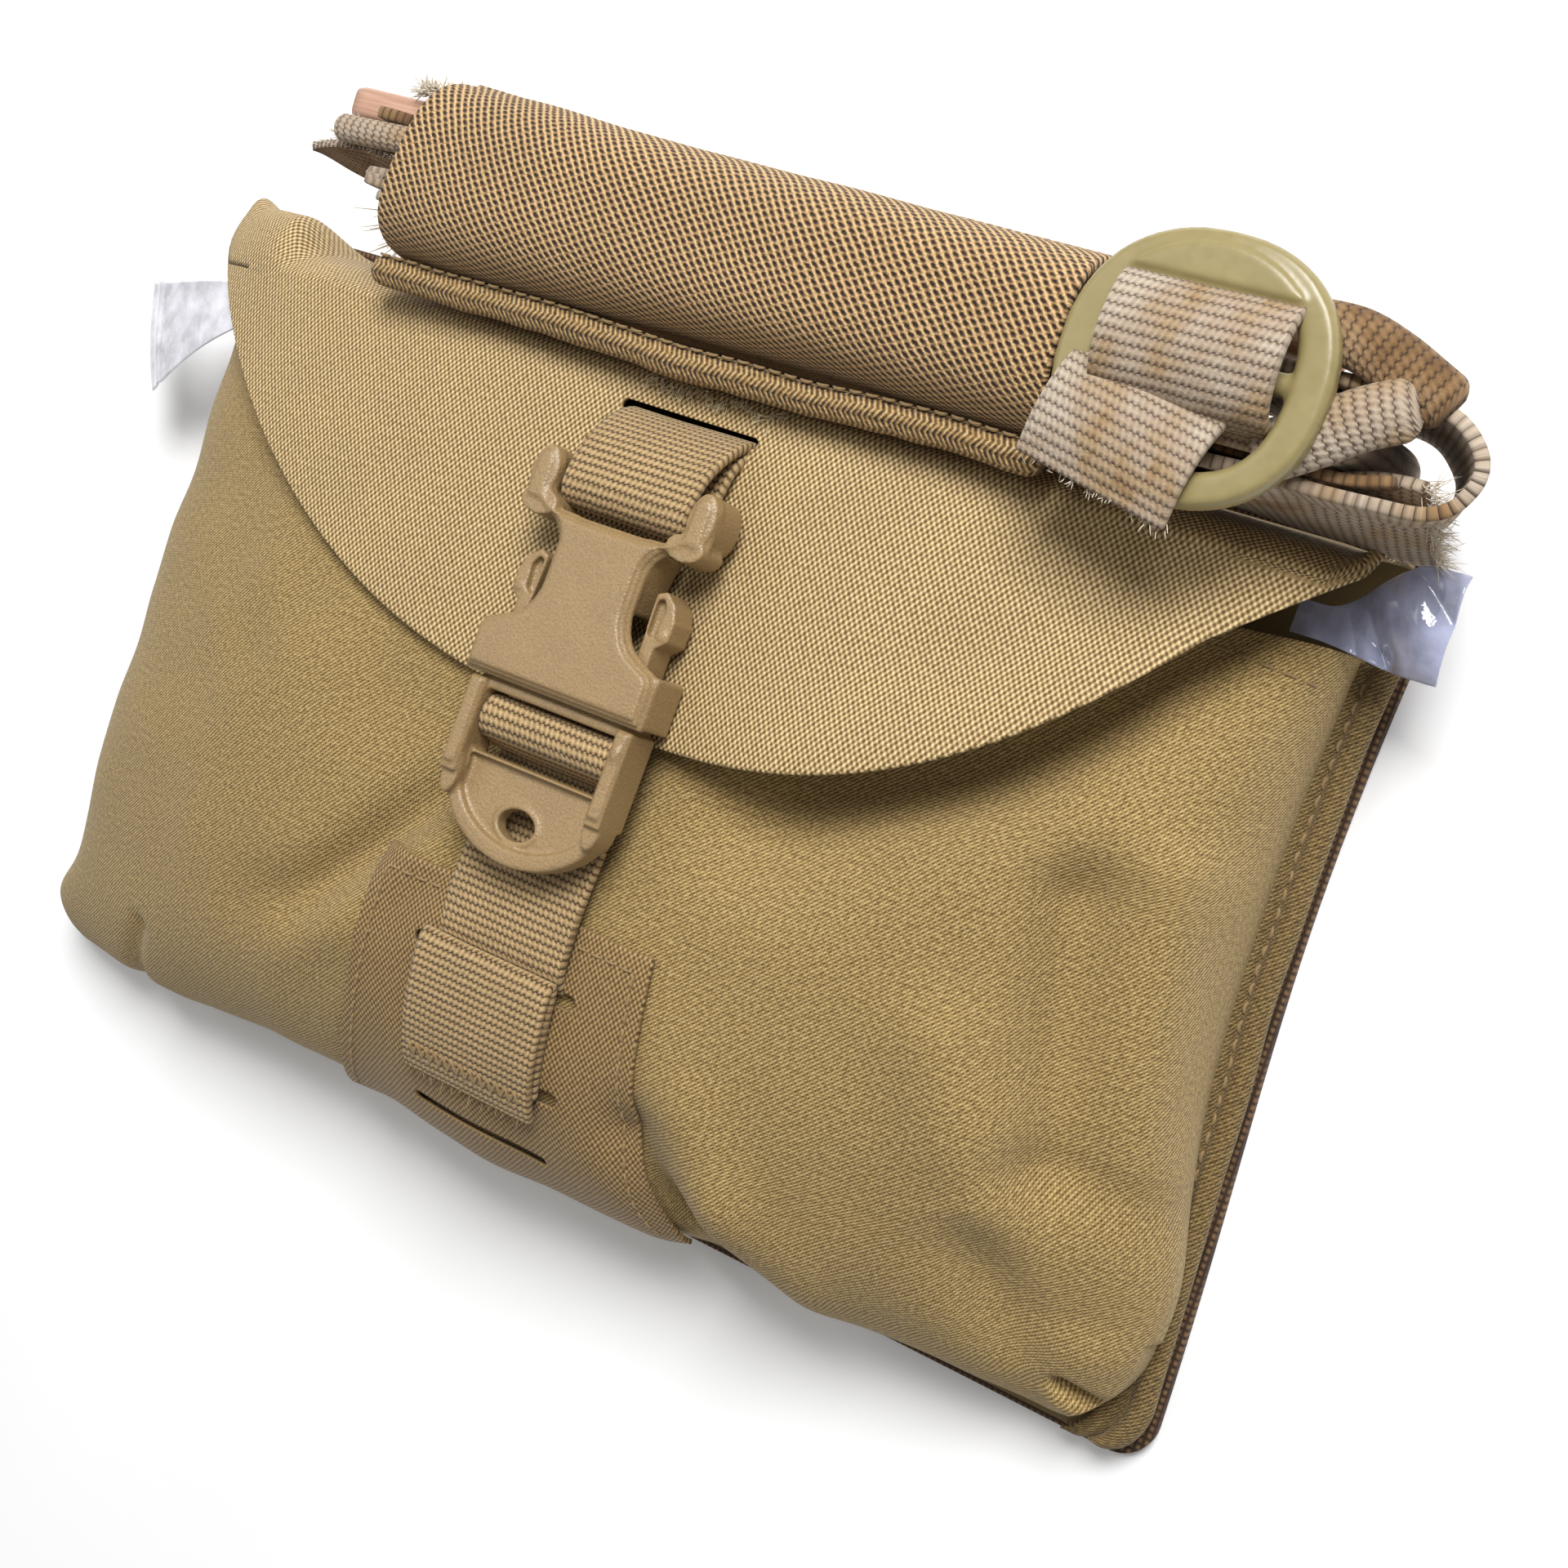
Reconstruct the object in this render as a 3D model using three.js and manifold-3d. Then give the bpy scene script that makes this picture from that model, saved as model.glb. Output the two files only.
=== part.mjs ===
// A trauma pouch lying on its back, with a folded windlass tourniquet in the elastic sleeve on its top fold.
// Millimetres. X runs across the pouch, Y from its bottom to its mouth, and Z out of its front.
// The origin is the centre of the rear face, which lies on the supporting surface.

import * as THREE from 'three';
import { mergeVertices } from 'three/addons/utils/BufferGeometryUtils.js';
import Module from 'manifold-3d';

const wasm = await Module();
wasm.setup();

// ---------- driving dimensions ----------

const GAP = 0.3;                 // clearance between pieces that rest on each other
const POUCH_WEB = 19;            // width of the pouch's webbing
const TOURNIQUET_WEB = 25.4;     // width of the tourniquet's strap
const WEB = 1.4;                 // thickness of both

const PLATFORM = { halfWidth: 90, bottom: -57.5, top: 56, corner: 5, thickness: 1.6 };
const SLOT = { width: 26, height: 3.2, pitchX: 38, rows: [-38, -12.5, 13, 38.5], columns: 4 };
const BACK = { halfWidth: 88.5, bottom: -56.4, top: 54.5, corner: 4.5, thickness: 1 };
const BASE = PLATFORM.thickness + GAP + BACK.thickness + GAP;

const FRONT = { halfWidth: 85.2, bottom: -55.5, mouth: 42, crown: 32.8, wall: 1.2, squareness: 2.8 };
const SEAM = { outer: 89.6, thickness: 1.8 };
const MOUTH_DROP = 8;            // how much lower the front is at the flap's fold than at its middle
const FOLD_REACH = 50;
const DENT = { depth: 3.2, x: 2.4, spread: 14, y: 10, reach: 60 };

const FLAP = { halfWidth: 94, lift: 1, thickness: 1, leftX: -84, rightX: 76, tip: 6.4, hinge: 47.4 };
const FLAP_EDGE = { left: 0.0056, right: 0.00009 };   // the edge rises as x squared, and as x cubed
const PINCH = { depth: 3.6, y: 16, spread: 50 };      // the stuffing draws both sides in
const SPINE = { halfWidth: 88, start: 47.8, end: 54.4, bulge: 1, leftBulge: 5, leftX: -70, thickness: 0.9 };

const SLEEVE = { halfLength: 48.6, front: 53.8, rear: 77.4, low: 7, high: 41.5, corner: 6, wall: 1.6 };
const HEM = { y: 51.8, z: 33.1, radius: 1.7 };

const PATCH = { x: 1.5, topHalf: 20.8, bottomHalf: 28, thickness: 0.8, gap: 0.4 };
const STOP = { x: 1.5, halfWidth: 10, top: -24.2, bottom: -43 };

const BUCKLE = { x: 2.4, y: 7.9, z: 35.3, tilt: THREE.MathUtils.degToRad(-5) };
const COLLAR = { half: 13.1, inner: 11.9, length: 7.5 };
const FEMALE = { low: 0.8, plate: 6.8, high: 8.5, neckHalf: 6.6, hornHalf: 13, hornInner: 9.7, top: 28.5 };
const FEMALE_BAR = { y: 25.6, z: 4.4, radius: 1.6 };
const MALE = { low: 1.1, high: 7.4, outer: 12, inner: 9.9, railEnd: -12.5, tabEnd: -21 };
const MALE_BAR = { y: -4.6, z: 3.4, radius: 1.3 };
const ARM = { root: 2.1, tip: 16.5, stemX: 9.2, stemHalf: 0.9, paddleInner: 8, paddleOuter: 11.5, high: 6 };

const STRAP_LOW = 11.4;          // lower edge of the folded tourniquet strap in its sleeve
const WINDLASS = { x0: -61.4, x1: 76, y: 72.2, z: 29.5, halfY: 2.2, halfZ: 4.4 };
const RING = { x: 64, y: 65.3, z: 39.3, outer: 15, inner: 10.9, bar: 1.4, depth: 3.2 };

// ---------- solids ----------

function closed(geometry) {
  const bare = geometry.clone();
  bare.deleteAttribute('normal');
  bare.deleteAttribute('uv');
  const merged = mergeVertices(bare, 1e-4);
  merged.computeVertexNormals();
  return merged;
}

function toManifold(geometry) {
  const merged = closed(geometry);
  const vertProperties = Float32Array.from(merged.attributes.position.array);
  const triVerts = Uint32Array.from(merged.index.array);
  return new wasm.Manifold(new wasm.Mesh({ numProp: 3, vertProperties, triVerts }));
}

function fromManifold(solid) {
  const mesh = solid.getMesh();
  const geometry = new THREE.BufferGeometry();
  geometry.setAttribute('position', new THREE.BufferAttribute(Float32Array.from(mesh.vertProperties), 3));
  geometry.setIndex(new THREE.BufferAttribute(Uint32Array.from(mesh.triVerts), 1));
  geometry.computeVertexNormals();
  return geometry;
}

function joined(...geometries) {
  const solids = geometries.map(toManifold);
  return fromManifold(solids.reduce((sum, solid) => sum.add(solid)));
}

function cut(geometry, ...tools) {
  const solids = tools.map(toManifold);
  return fromManifold(solids.reduce((rest, tool) => rest.subtract(tool), toManifold(geometry)));
}

function block(x0, x1, y0, y1, z0, z1) {
  const geometry = new THREE.BoxGeometry(x1 - x0, y1 - y0, z1 - z0);
  geometry.translate((x0 + x1) / 2, (y0 + y1) / 2, (z0 + z1) / 2);
  return geometry;
}

function rodX(x0, x1, y, z, radius, sides = 12) {
  const geometry = new THREE.CylinderGeometry(radius, radius, x1 - x0, sides);
  geometry.rotateZ(Math.PI / 2);
  geometry.translate((x0 + x1) / 2, y, z);
  return geometry;
}

function plate(shape, z0, z1, curveSegments = 6) {
  const geometry = new THREE.ExtrudeGeometry(shape, { depth: z1 - z0, bevelEnabled: false, curveSegments });
  geometry.translate(0, 0, z0);
  return geometry;
}

function roundedRectangle(x0, x1, y0, y1, radius) {
  const shape = new THREE.Shape();
  shape.moveTo(x0 + radius, y0);
  shape.lineTo(x1 - radius, y0);
  shape.absarc(x1 - radius, y0 + radius, radius, -Math.PI / 2, 0, false);
  shape.lineTo(x1, y1 - radius);
  shape.absarc(x1 - radius, y1 - radius, radius, 0, Math.PI / 2, false);
  shape.lineTo(x0 + radius, y1);
  shape.absarc(x0 + radius, y1 - radius, radius, Math.PI / 2, Math.PI, false);
  shape.lineTo(x0, y0 + radius);
  shape.absarc(x0 + radius, y0 + radius, radius, Math.PI, Math.PI * 1.5, false);
  return shape;
}

// Turns an extrusion of a shape drawn in (y, z) so that it runs along X from x0 to x1.
function alongX(shape, x0, x1, curveSegments = 6) {
  const geometry = new THREE.ExtrudeGeometry(shape, { depth: x1 - x0, bevelEnabled: false, curveSegments });
  geometry.applyMatrix4(new THREE.Matrix4().set(0, 0, 1, x0, 1, 0, 0, 0, 0, 1, 0, 0, 0, 0, 0, 1));
  return geometry;
}

function surfaceNormal(surface, u, v) {
  const step = 0.004;
  const u0 = THREE.MathUtils.clamp(u, 0.012, 0.988);
  const v0 = THREE.MathUtils.clamp(v, 0.012, 0.988);
  const alongU = surface(u0 + step, v0).sub(surface(u0 - step, v0));
  const alongV = surface(u0, v0 + step).sub(surface(u0, v0 - step));
  return alongU.cross(alongV).normalize();
}

// A closed sheet between two offsets from surface(u, v), with u and v from 0 to 1.
function sheet(surface, acrossSteps, alongSteps, inner, outer) {
  const geometry = new THREE.BoxGeometry(1, 1, 1, acrossSteps, alongSteps, 1);
  const position = geometry.attributes.position;
  for (let i = 0; i < position.count; i += 1) {
    const u = position.getX(i) + 0.5;
    const v = position.getY(i) + 0.5;
    const offset = position.getZ(i) > 0 ? outer : inner;
    const point = surface(u, v).addScaledVector(surfaceNormal(surface, u, v), offset);
    position.setXYZ(i, point.x, point.y, point.z);
  }
  return closed(geometry);
}

// Webbing whose width lies along X and whose length follows (y, z) points.
function webAcross(x0, x1, points, steps, thickness = WEB) {
  const path = new THREE.CatmullRomCurve3(points.map(([y, z]) => new THREE.Vector3(0, y, z)));
  const surface = (u, v) => path.getPoint(v).setX(THREE.MathUtils.lerp(x0, x1, u));
  return sheet(surface, 1, steps, -thickness / 2, thickness / 2);
}

// Webbing whose width stands along Z and whose length follows (x, y) points.
function webUpright(z0, z1, points, steps, thickness = WEB) {
  const path = new THREE.CatmullRomCurve3(points.map(([x, y]) => new THREE.Vector3(x, y, 0)));
  const surface = (u, v) => path.getPoint(v).setZ(THREE.MathUtils.lerp(z0, z1, u));
  return sheet(surface, 1, steps, -thickness / 2, thickness / 2);
}

// ---------- the pouch's stuffed form ----------

function signedPower(value, exponent) {
  return Math.sign(value) * Math.abs(value) ** exponent;
}

function fall(ratio) {
  const rest = Math.max(0, 1 - Math.abs(ratio) ** FRONT.squareness);
  return rest ** (1 / FRONT.squareness);
}

function crownHeight(y) {
  if (y < 0) return FRONT.crown * fall(y / FRONT.bottom);
  return FRONT.crown - MOUTH_DROP * (y / FOLD_REACH) ** 2;
}

// The buckle's strap pulls a hollow into the front.
function dent(x, y) {
  const away = (y - DENT.y) / (2 * DENT.reach);
  if (Math.abs(away) >= 0.5) return 0;
  const across = Math.exp(-0.5 * ((x - DENT.x) / DENT.spread) ** 2);
  return DENT.depth * across * Math.cos(Math.PI * away) ** 2;
}

function bodyHeight(x, y) {
  return BASE + crownHeight(y) * fall(x / FRONT.halfWidth) - dent(x, y);
}

function flapHeight(x, y) {
  return BASE + FLAP.lift + crownHeight(y) * fall(x / FLAP.halfWidth) - dent(x, y);
}

function pinched(x, y) {
  return x * (1 - PINCH.depth / FRONT.halfWidth * Math.exp(-(((y - PINCH.y) / PINCH.spread) ** 2)));
}

const BOTTOM_SHARE = 0.42;       // part of the front's length that curves round the bottom

function frontSurface(u, v) {
  const exponent = 2 / FRONT.squareness;
  const turnX = Math.PI * u;
  const x = -FRONT.halfWidth * signedPower(Math.cos(turnX), exponent);
  const rise = Math.abs(Math.sin(turnX)) ** exponent;
  if (v >= BOTTOM_SHARE) {
    const y = FRONT.mouth * (v - BOTTOM_SHARE) / (1 - BOTTOM_SHARE);
    return new THREE.Vector3(pinched(x, y), y, BASE + crownHeight(y) * rise - dent(x, y) * rise);
  }
  const turnY = Math.PI / 2 * v / BOTTOM_SHARE;
  const y = FRONT.bottom * Math.cos(turnY) ** exponent;
  const crown = FRONT.crown * Math.sin(turnY) ** exponent;
  return new THREE.Vector3(pinched(x, y), y, BASE + (crown - dent(x, y)) * rise);
}

// ---------- pouch pieces ----------

function evenSteps(from, to, count) {
  return Array.from({ length: count + 1 }, (_, step) => THREE.MathUtils.lerp(from, to, step / count));
}

function pinchedShape(points) {
  return new THREE.Shape(points.map(([x, y]) => new THREE.Vector2(pinched(x, y), y)));
}

// A rounded rectangle whose two sides are drawn in by the stuffing.
function pinchedPanel({ halfWidth, bottom, top, corner }) {
  const turn = (x, y, quarter) => evenSteps(quarter, quarter + 1, 4).map((step) => {
    const angle = step * Math.PI / 2;
    return [x + corner * Math.cos(angle), y + corner * Math.sin(angle)];
  });
  const x = halfWidth - corner;
  const side = evenSteps(bottom + corner, top - corner, 12).slice(1, -1);
  return pinchedShape([
    ...turn(x, bottom + corner, -1), ...side.map((y) => [halfWidth, y]), ...turn(x, top - corner, 0),
    ...turn(-x, top - corner, 1), ...side.reverse().map((y) => [-halfWidth, y]), ...turn(-x, bottom + corner, 2),
  ]);
}

function rearPlatform() {
  const shape = pinchedPanel(PLATFORM);
  for (const y of SLOT.rows) {
    for (let column = 0; column < SLOT.columns; column += 1) {
      const x = (column - (SLOT.columns - 1) / 2) * SLOT.pitchX;
      const half = SLOT.width / 2;
      shape.holes.push(roundedRectangle(x - half, x + half, y, y + SLOT.height, SLOT.height / 2 - 0.01));
    }
  }
  return plate(shape, 0, PLATFORM.thickness, 2);
}

function backPanel() {
  const low = PLATFORM.thickness + GAP;
  return plate(pinchedPanel(BACK), low, low + BACK.thickness);
}

function frontPanel() {
  return sheet(frontSurface, 26, 18, -FRONT.wall, 0);
}

function sideSeam(side) {
  const heights = evenSteps(BACK.bottom, FRONT.mouth, 14);
  const outer = heights.map((y) => [side * SEAM.outer, y]);
  const inner = heights.map((y) => [side * (FRONT.halfWidth + GAP), y]).reverse();
  return plate(pinchedShape([...outer, ...inner]), BASE, BASE + SEAM.thickness);
}

function patchSurface(u, v) {
  const turn = Math.PI / 2 * THREE.MathUtils.lerp(0.16, 0.875, v);
  const y = Math.min(FRONT.bottom * Math.cos(turn) ** (2 / FRONT.squareness), 0);
  const half = THREE.MathUtils.lerp(PATCH.bottomHalf, PATCH.topHalf, v ** 0.7);
  const x = PATCH.x + half * (2 * u - 1);
  return new THREE.Vector3(x, y, bodyHeight(x, y));
}

function frontPatch() {
  return sheet(patchSurface, 8, 12, PATCH.gap, PATCH.gap + PATCH.thickness);
}

// A point of the buckle's strap, lifted above the highest part of the front beneath its width.
function overFront(y, lift) {
  const half = POUCH_WEB / 2;
  const heights = [-half, 0, half].map((offset) => bodyHeight(DENT.x + offset, y));
  return [y, Math.max(...heights) + lift];
}

function strapLower() {
  const overPatch = PATCH.gap + PATCH.thickness + GAP + WEB / 2;
  const overBody = GAP + WEB / 2;
  const points = [overFront(-23.4, overPatch), overFront(-19, overPatch + 0.2), overFront(-14, overPatch),
    overFront(-8, overBody + 0.5), overFront(-2, overBody + 0.3), overFront(2, overBody + 0.3)];
  return webAcross(DENT.x - POUCH_WEB / 2, DENT.x + POUCH_WEB / 2, points, 14);
}

function strapStop() {
  const low = PATCH.gap + PATCH.thickness + GAP + 0.8;
  const rise = 1.5;
  const points = [overFront(STOP.bottom + 3, low), overFront(-36, low), overFront(-30, low),
    overFront(STOP.top - 1.6, low), overFront(STOP.top - 0.8, low + rise / 2),
    overFront(STOP.top - 1.6, low + rise), overFront(-30, low + rise), overFront(-36, low + rise),
    overFront(STOP.bottom, low + rise)];
  return webAcross(STOP.x - STOP.halfWidth, STOP.x + STOP.halfWidth, points, 40, 1.1);
}

// ---------- flap pieces ----------

function leafSurface(u, v) {
  const x = THREE.MathUtils.lerp(FLAP.leftX, FLAP.rightX, u);
  const rise = x < 0 ? FLAP_EDGE.left * x ** 2 : FLAP_EDGE.right * x ** 3;
  const y = THREE.MathUtils.lerp(FLAP.tip + rise, FLAP.hinge, v);
  return new THREE.Vector3(x, y, flapHeight(x, y));
}

// The leaf is notched beneath the buckle, so that it can lift past the plug's prongs, which lie on top of it.
function flapFront() {
  const half = COLLAR.half + 0.2;
  const end = BUCKLE.y + ARM.tip + 2;
  const notch = block(BUCKLE.x - half, BUCKLE.x + half, FLAP.tip - 5, end, BASE, BUCKLE.z + FEMALE.high);
  return cut(sheet(leafSurface, 32, 9, 0, FLAP.thickness), notch);
}

function spineSurface(u, v) {
  const x = THREE.MathUtils.lerp(-SPINE.halfWidth, SPINE.halfWidth, u);
  const left = THREE.MathUtils.smoothstep(SPINE.leftX - x, 0, 6);
  const bulge = SPINE.bulge + SPINE.leftBulge * left;
  const top = flapHeight(x, SPINE.start);
  const y = THREE.MathUtils.lerp(SPINE.start, SPINE.end, v) + bulge * Math.sin(Math.PI * v);
  const z = BASE + GAP + (top - BASE - GAP) * (1 - v ** 2.2);
  return new THREE.Vector3(x, y, z);
}

function flapSpine() {
  return sheet(spineSurface, 26, 9, -SPINE.thickness, 0);
}

function tourniquetSleeve() {
  const { halfLength, front, rear, low, high, corner, wall } = SLEEVE;
  const shape = roundedRectangle(front, rear, low, high, corner);
  shape.holes.push(roundedRectangle(front + wall, rear - wall, low + wall, high - wall, corner - wall));
  return alongX(shape, -halfLength, halfLength, 8);
}

function sleeveHem() {
  return rodX(-SLEEVE.halfLength, SLEEVE.halfLength, HEM.y, HEM.z, HEM.radius, 16);
}

// ---------- contents ----------

function cushion(x0, x1, y0, y1, z0, z1, radius) {
  const bevel = 3;
  const shape = roundedRectangle(x0 + bevel, x1 - bevel, y0 + bevel, y1 - bevel, radius);
  const geometry = new THREE.ExtrudeGeometry(shape, {
    depth: z1 - z0 - 2 * bevel, bevelThickness: bevel, bevelSize: bevel, bevelSegments: 2, curveSegments: 2,
  });
  geometry.translate(0, 0, z0 + bevel);
  return geometry;
}

function filmCornerSurface(u, v) {
  const x = THREE.MathUtils.lerp(60, 94, u);
  const flare = THREE.MathUtils.smoothstep(x, 88.6, 92.5);
  const low = 43.4 - flare;
  const high = THREE.MathUtils.lerp(46.8, 52.6, flare);
  const y = THREE.MathUtils.lerp(low, high, v);
  return new THREE.Vector3(x, y, 13.5 + 2.5 * flare + 1.2 * Math.sin(5 * u + 6 * v));
}

function filmTabSurface(u, v) {
  const x = THREE.MathUtils.lerp(-106, -79, u);
  const low = THREE.MathUtils.lerp(26, 41.5, u);
  const y = low + THREE.MathUtils.lerp(15.5, 5, u) * v;
  const z = THREE.MathUtils.lerp(11, 19.6, Math.sin(Math.PI / 2 * u));
  return new THREE.Vector3(x, y, z);
}

// ---------- buckle, drawn lying flat with its collar's lower edge on the local X axis ----------

function femaleOutline() {
  const { half, length } = COLLAR;
  const { neckHalf, hornHalf, hornInner, top } = FEMALE;
  const shape = new THREE.Shape();
  shape.moveTo(-half, 0);
  shape.lineTo(half, 0);
  shape.lineTo(half, length - 2);
  shape.quadraticCurveTo(half - 1, length + 1.5, neckHalf + 0.4, length + 3);
  shape.lineTo(neckHalf, 17);
  shape.quadraticCurveTo(neckHalf + 0.5, 20.5, hornHalf, 21.5);
  shape.lineTo(hornHalf, top - 1.5);
  shape.quadraticCurveTo(hornHalf, top, hornHalf - 1.6, top);
  shape.quadraticCurveTo(hornInner, top, hornInner, top - 1.5);
  shape.lineTo(hornInner, 22.5);
  shape.lineTo(-hornInner, 22.5);
  shape.lineTo(-hornInner, top - 1.5);
  shape.quadraticCurveTo(-hornInner, top, -hornHalf + 1.6, top);
  shape.quadraticCurveTo(-hornHalf, top, -hornHalf, top - 1.5);
  shape.lineTo(-hornHalf, 21.5);
  shape.quadraticCurveTo(-neckHalf - 0.5, 20.5, -neckHalf, 17);
  shape.lineTo(-neckHalf - 0.4, length + 3);
  shape.quadraticCurveTo(-half + 1, length + 1.5, -half, length - 2);
  shape.closePath();
  return shape;
}

// The underside stays open, so that the flap lifts the female half off the prongs.
function buckleFemale() {
  const { half, inner, length } = COLLAR;
  const { low, plate: under, high, neckHalf, hornHalf, hornInner, top } = FEMALE;
  const shell = plate(femaleOutline(), under, high, 5);
  const overlap = 0.4;
  const walls = [-1, 1].map((side) => block(
    Math.min(side * inner, side * half), Math.max(side * inner, side * half), 0, length - 2, low, under + overlap,
  ));
  const neck = block(-neckHalf, neckHalf, 12.8, 20.5, low, under + overlap);
  const horns = [-1, 1].map((side) => block(
    Math.min(side * hornInner, side * hornHalf), Math.max(side * hornInner, side * hornHalf),
    21.6, top - 1.6, low + 0.6, under + overlap,
  ));
  const bar = rodX(-hornInner - 1, hornInner + 1, FEMALE_BAR.y, FEMALE_BAR.z, FEMALE_BAR.radius);
  return joined(shell, neck, bar, ...walls, ...horns);
}

function flapWebbing() {
  const { y, z, radius } = FEMALE_BAR;
  const reach = radius + GAP + WEB / 2;
  const points = [[35.4, 4.4], [32, 5.2], [y + 2.4, z + reach - 0.1], [y, z + reach], [y - 1.7, z + reach * 0.72],
    [y - reach, z], [y - 1.7, z - reach * 0.72], [y, z - reach], [y + 2.4, z - reach + 0.1], [32, 2.8],
    [35.4, 2.6]];
  return webAcross(-9.3, 9.3, points, 40);
}

function buckleFrame() {
  const { low, high, outer, inner, railEnd, tabEnd } = MALE;
  const rails = [-1, 1].map((side) => block(
    Math.min(side * inner, side * outer), Math.max(side * inner, side * outer), railEnd, -0.5, low, high,
  ));
  const bridge = block(-11.2, 11.2, -1.4, 1.7, low, ARM.high);
  const neck = block(-11.2, 11.2, -1.6, -0.6, low, high);
  const guide = block(-1.8, 1.8, 1.4, 11.6, low + 0.6, ARM.high - 0.4);
  const bar = rodX(-inner - 1, inner + 1, MALE_BAR.y, MALE_BAR.z, MALE_BAR.radius);
  const tabShape = new THREE.Shape();
  tabShape.moveTo(outer, railEnd + 3.5);
  tabShape.lineTo(-outer, railEnd + 3.5);
  tabShape.lineTo(-outer, railEnd);
  tabShape.quadraticCurveTo(-outer + 1, tabEnd + 1.5, -4.5, tabEnd);
  tabShape.lineTo(4.5, tabEnd);
  tabShape.quadraticCurveTo(outer - 1, tabEnd + 1.5, outer, railEnd);
  tabShape.closePath();
  const hole = new THREE.Path();
  hole.absellipse(0, -16.8, 2.8, 1.9, 0, Math.PI * 2, false, 0);
  tabShape.holes.push(hole);
  return joined(bridge, ...rails, neck, guide, bar, plate(tabShape, low + 0.8, 4.8, 8));
}

function strapOverBar() {
  const { y, z, radius } = MALE_BAR;
  const reach = radius + GAP + WEB / 2;
  const points = [[y - reach - 0.4, 1.9], [y - reach, z], [y - 1.5, z + reach * 0.75], [y, z + reach],
    [y + 1.2, z + reach * 0.8], [y + 1.9, z + 1]];
  return webAcross(-9.3, 9.3, points, 20, 1.1);
}

function buckleArm(side) {
  const shape = new THREE.Shape();
  const { root, tip, stemX, stemHalf, paddleInner, paddleOuter } = ARM;
  shape.moveTo(side * (stemX - stemHalf), root);
  shape.lineTo(side * (stemX + stemHalf), root);
  shape.lineTo(side * (stemX + stemHalf), 9.6);
  shape.lineTo(side * paddleOuter, 10.8);
  shape.quadraticCurveTo(side * paddleOuter, tip - 1.5, side * (paddleOuter - 2.4), tip);
  shape.lineTo(side * paddleInner, tip - 0.6);
  shape.lineTo(side * (stemX - stemHalf), 9.6);
  shape.closePath();
  return plate(shape, MALE.low + 0.2, ARM.high, 5);
}

// ---------- tourniquet pieces ----------

const STRAP_HIGH = STRAP_LOW + TOURNIQUET_WEB;

// The outer fold runs along the sleeve's front, turns in an open loop at the right and returns by the windlass.
function strapFoldOuter() {
  const front = 56.6;
  const rear = 68;
  const points = [[-57, front], [-20, front], [20, front], [60, front], [84, front], [91.5, 57.3], [94.5, 60.4],
    [94.2, 63.8], [91, 66.8], [86, rear - 0.2], [78, rear], [40, rear], [0, rear], [-54, rear]];
  return webUpright(STRAP_LOW, STRAP_HIGH, points, 60);
}

function strapFoldMiddle() {
  const front = 59;
  const rear = 66.3;
  const points = [[-54, front], [-10, front], [40, front], [72, front], [80, 60.3], [82.1, 62.7], [80, 65.1],
    [72, rear], [40, rear], [-10, rear], [-50, rear], [-58, rear]];
  return webUpright(STRAP_LOW, STRAP_HIGH, points, 48);
}

function strapFrayedEnd() {
  const points = [[53, 54.5], [66, 54.6], [80, 54.5], [91, 54]];
  return webUpright(STRAP_LOW + 2, STRAP_HIGH - 1, points, 8, 1.3);
}

function strapLeafEnd() {
  const shape = new THREE.Shape();
  shape.moveTo(-51.5, 17);
  shape.lineTo(-51.5, 34);
  shape.lineTo(-62, 33.5);
  shape.quadraticCurveTo(-70, 31, -73.5, 25);
  shape.quadraticCurveTo(-66, 18, -58, 17);
  shape.closePath();
  const geometry = new THREE.ExtrudeGeometry(shape, { depth: 2, bevelEnabled: false, curveSegments: 6 });
  geometry.applyMatrix4(new THREE.Matrix4().set(1, 0, 0, 0, 0, 0, -1, 64.4, 0, 1, 0, 0, 0, 0, 0, 1));
  return geometry;
}

function windlassBar() {
  const { x0, x1, y, z, halfY, halfZ } = WINDLASS;
  const shape = new THREE.Shape();
  shape.absellipse(y, z, halfY, halfZ, 0, Math.PI * 2, false, 0);
  return alongX(shape, x0, x1, 16);
}

function windlassRibbon() {
  const { y, z, halfY, halfZ } = WINDLASS;
  const thickness = 0.7;
  const shape = new THREE.Shape();
  shape.absellipse(y, z, halfY + GAP + thickness, halfZ + GAP + thickness, 0, Math.PI * 2, false, 0);
  const hole = new THREE.Path();
  hole.absellipse(y, z, halfY + GAP, halfZ + GAP, 0, Math.PI * 2, false, 0);
  shape.holes.push(hole);
  return alongX(shape, -10, 10, 12);
}

function ringHole(side) {
  const { x, y, inner, bar } = RING;
  const start = Math.asin(bar / inner);
  const path = new THREE.Path();
  const from = side > 0 ? start : Math.PI + start;
  path.absarc(x, y, inner, from, from + Math.PI - 2 * start, false);
  path.closePath();
  return path;
}

function securingRing() {
  const { x, y, z, outer, depth } = RING;
  const shape = new THREE.Shape();
  shape.absarc(x, y, outer, 0, Math.PI * 2, false);
  shape.holes.push(ringHole(1), ringHole(-1));
  return plate(shape, z, z + depth, 16);
}

function ringStrap() {
  const high = RING.z + RING.depth + GAP + 0.75;
  const points = [[73.5, 37.8], [71, 38.3], [69.6, 40], [69.3, 41.6], [67.8, high], [65.3, high + 0.2],
    [62.8, high], [61.3, 41.6], [61, 40], [59.6, 38.3], [57, 37.8]];
  return webAcross(RING.x - 9, RING.x + 9, points, 26, 1.2);
}

function ringTail() {
  const low = RING.z + RING.depth + GAP + 0.65;
  return webAcross(50.4, 67.6, [[59, low], [56, low], [53, low - 0.1], [49.6, low - 0.4]], 8, 1.2);
}

// ---------- assembly ----------

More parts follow.
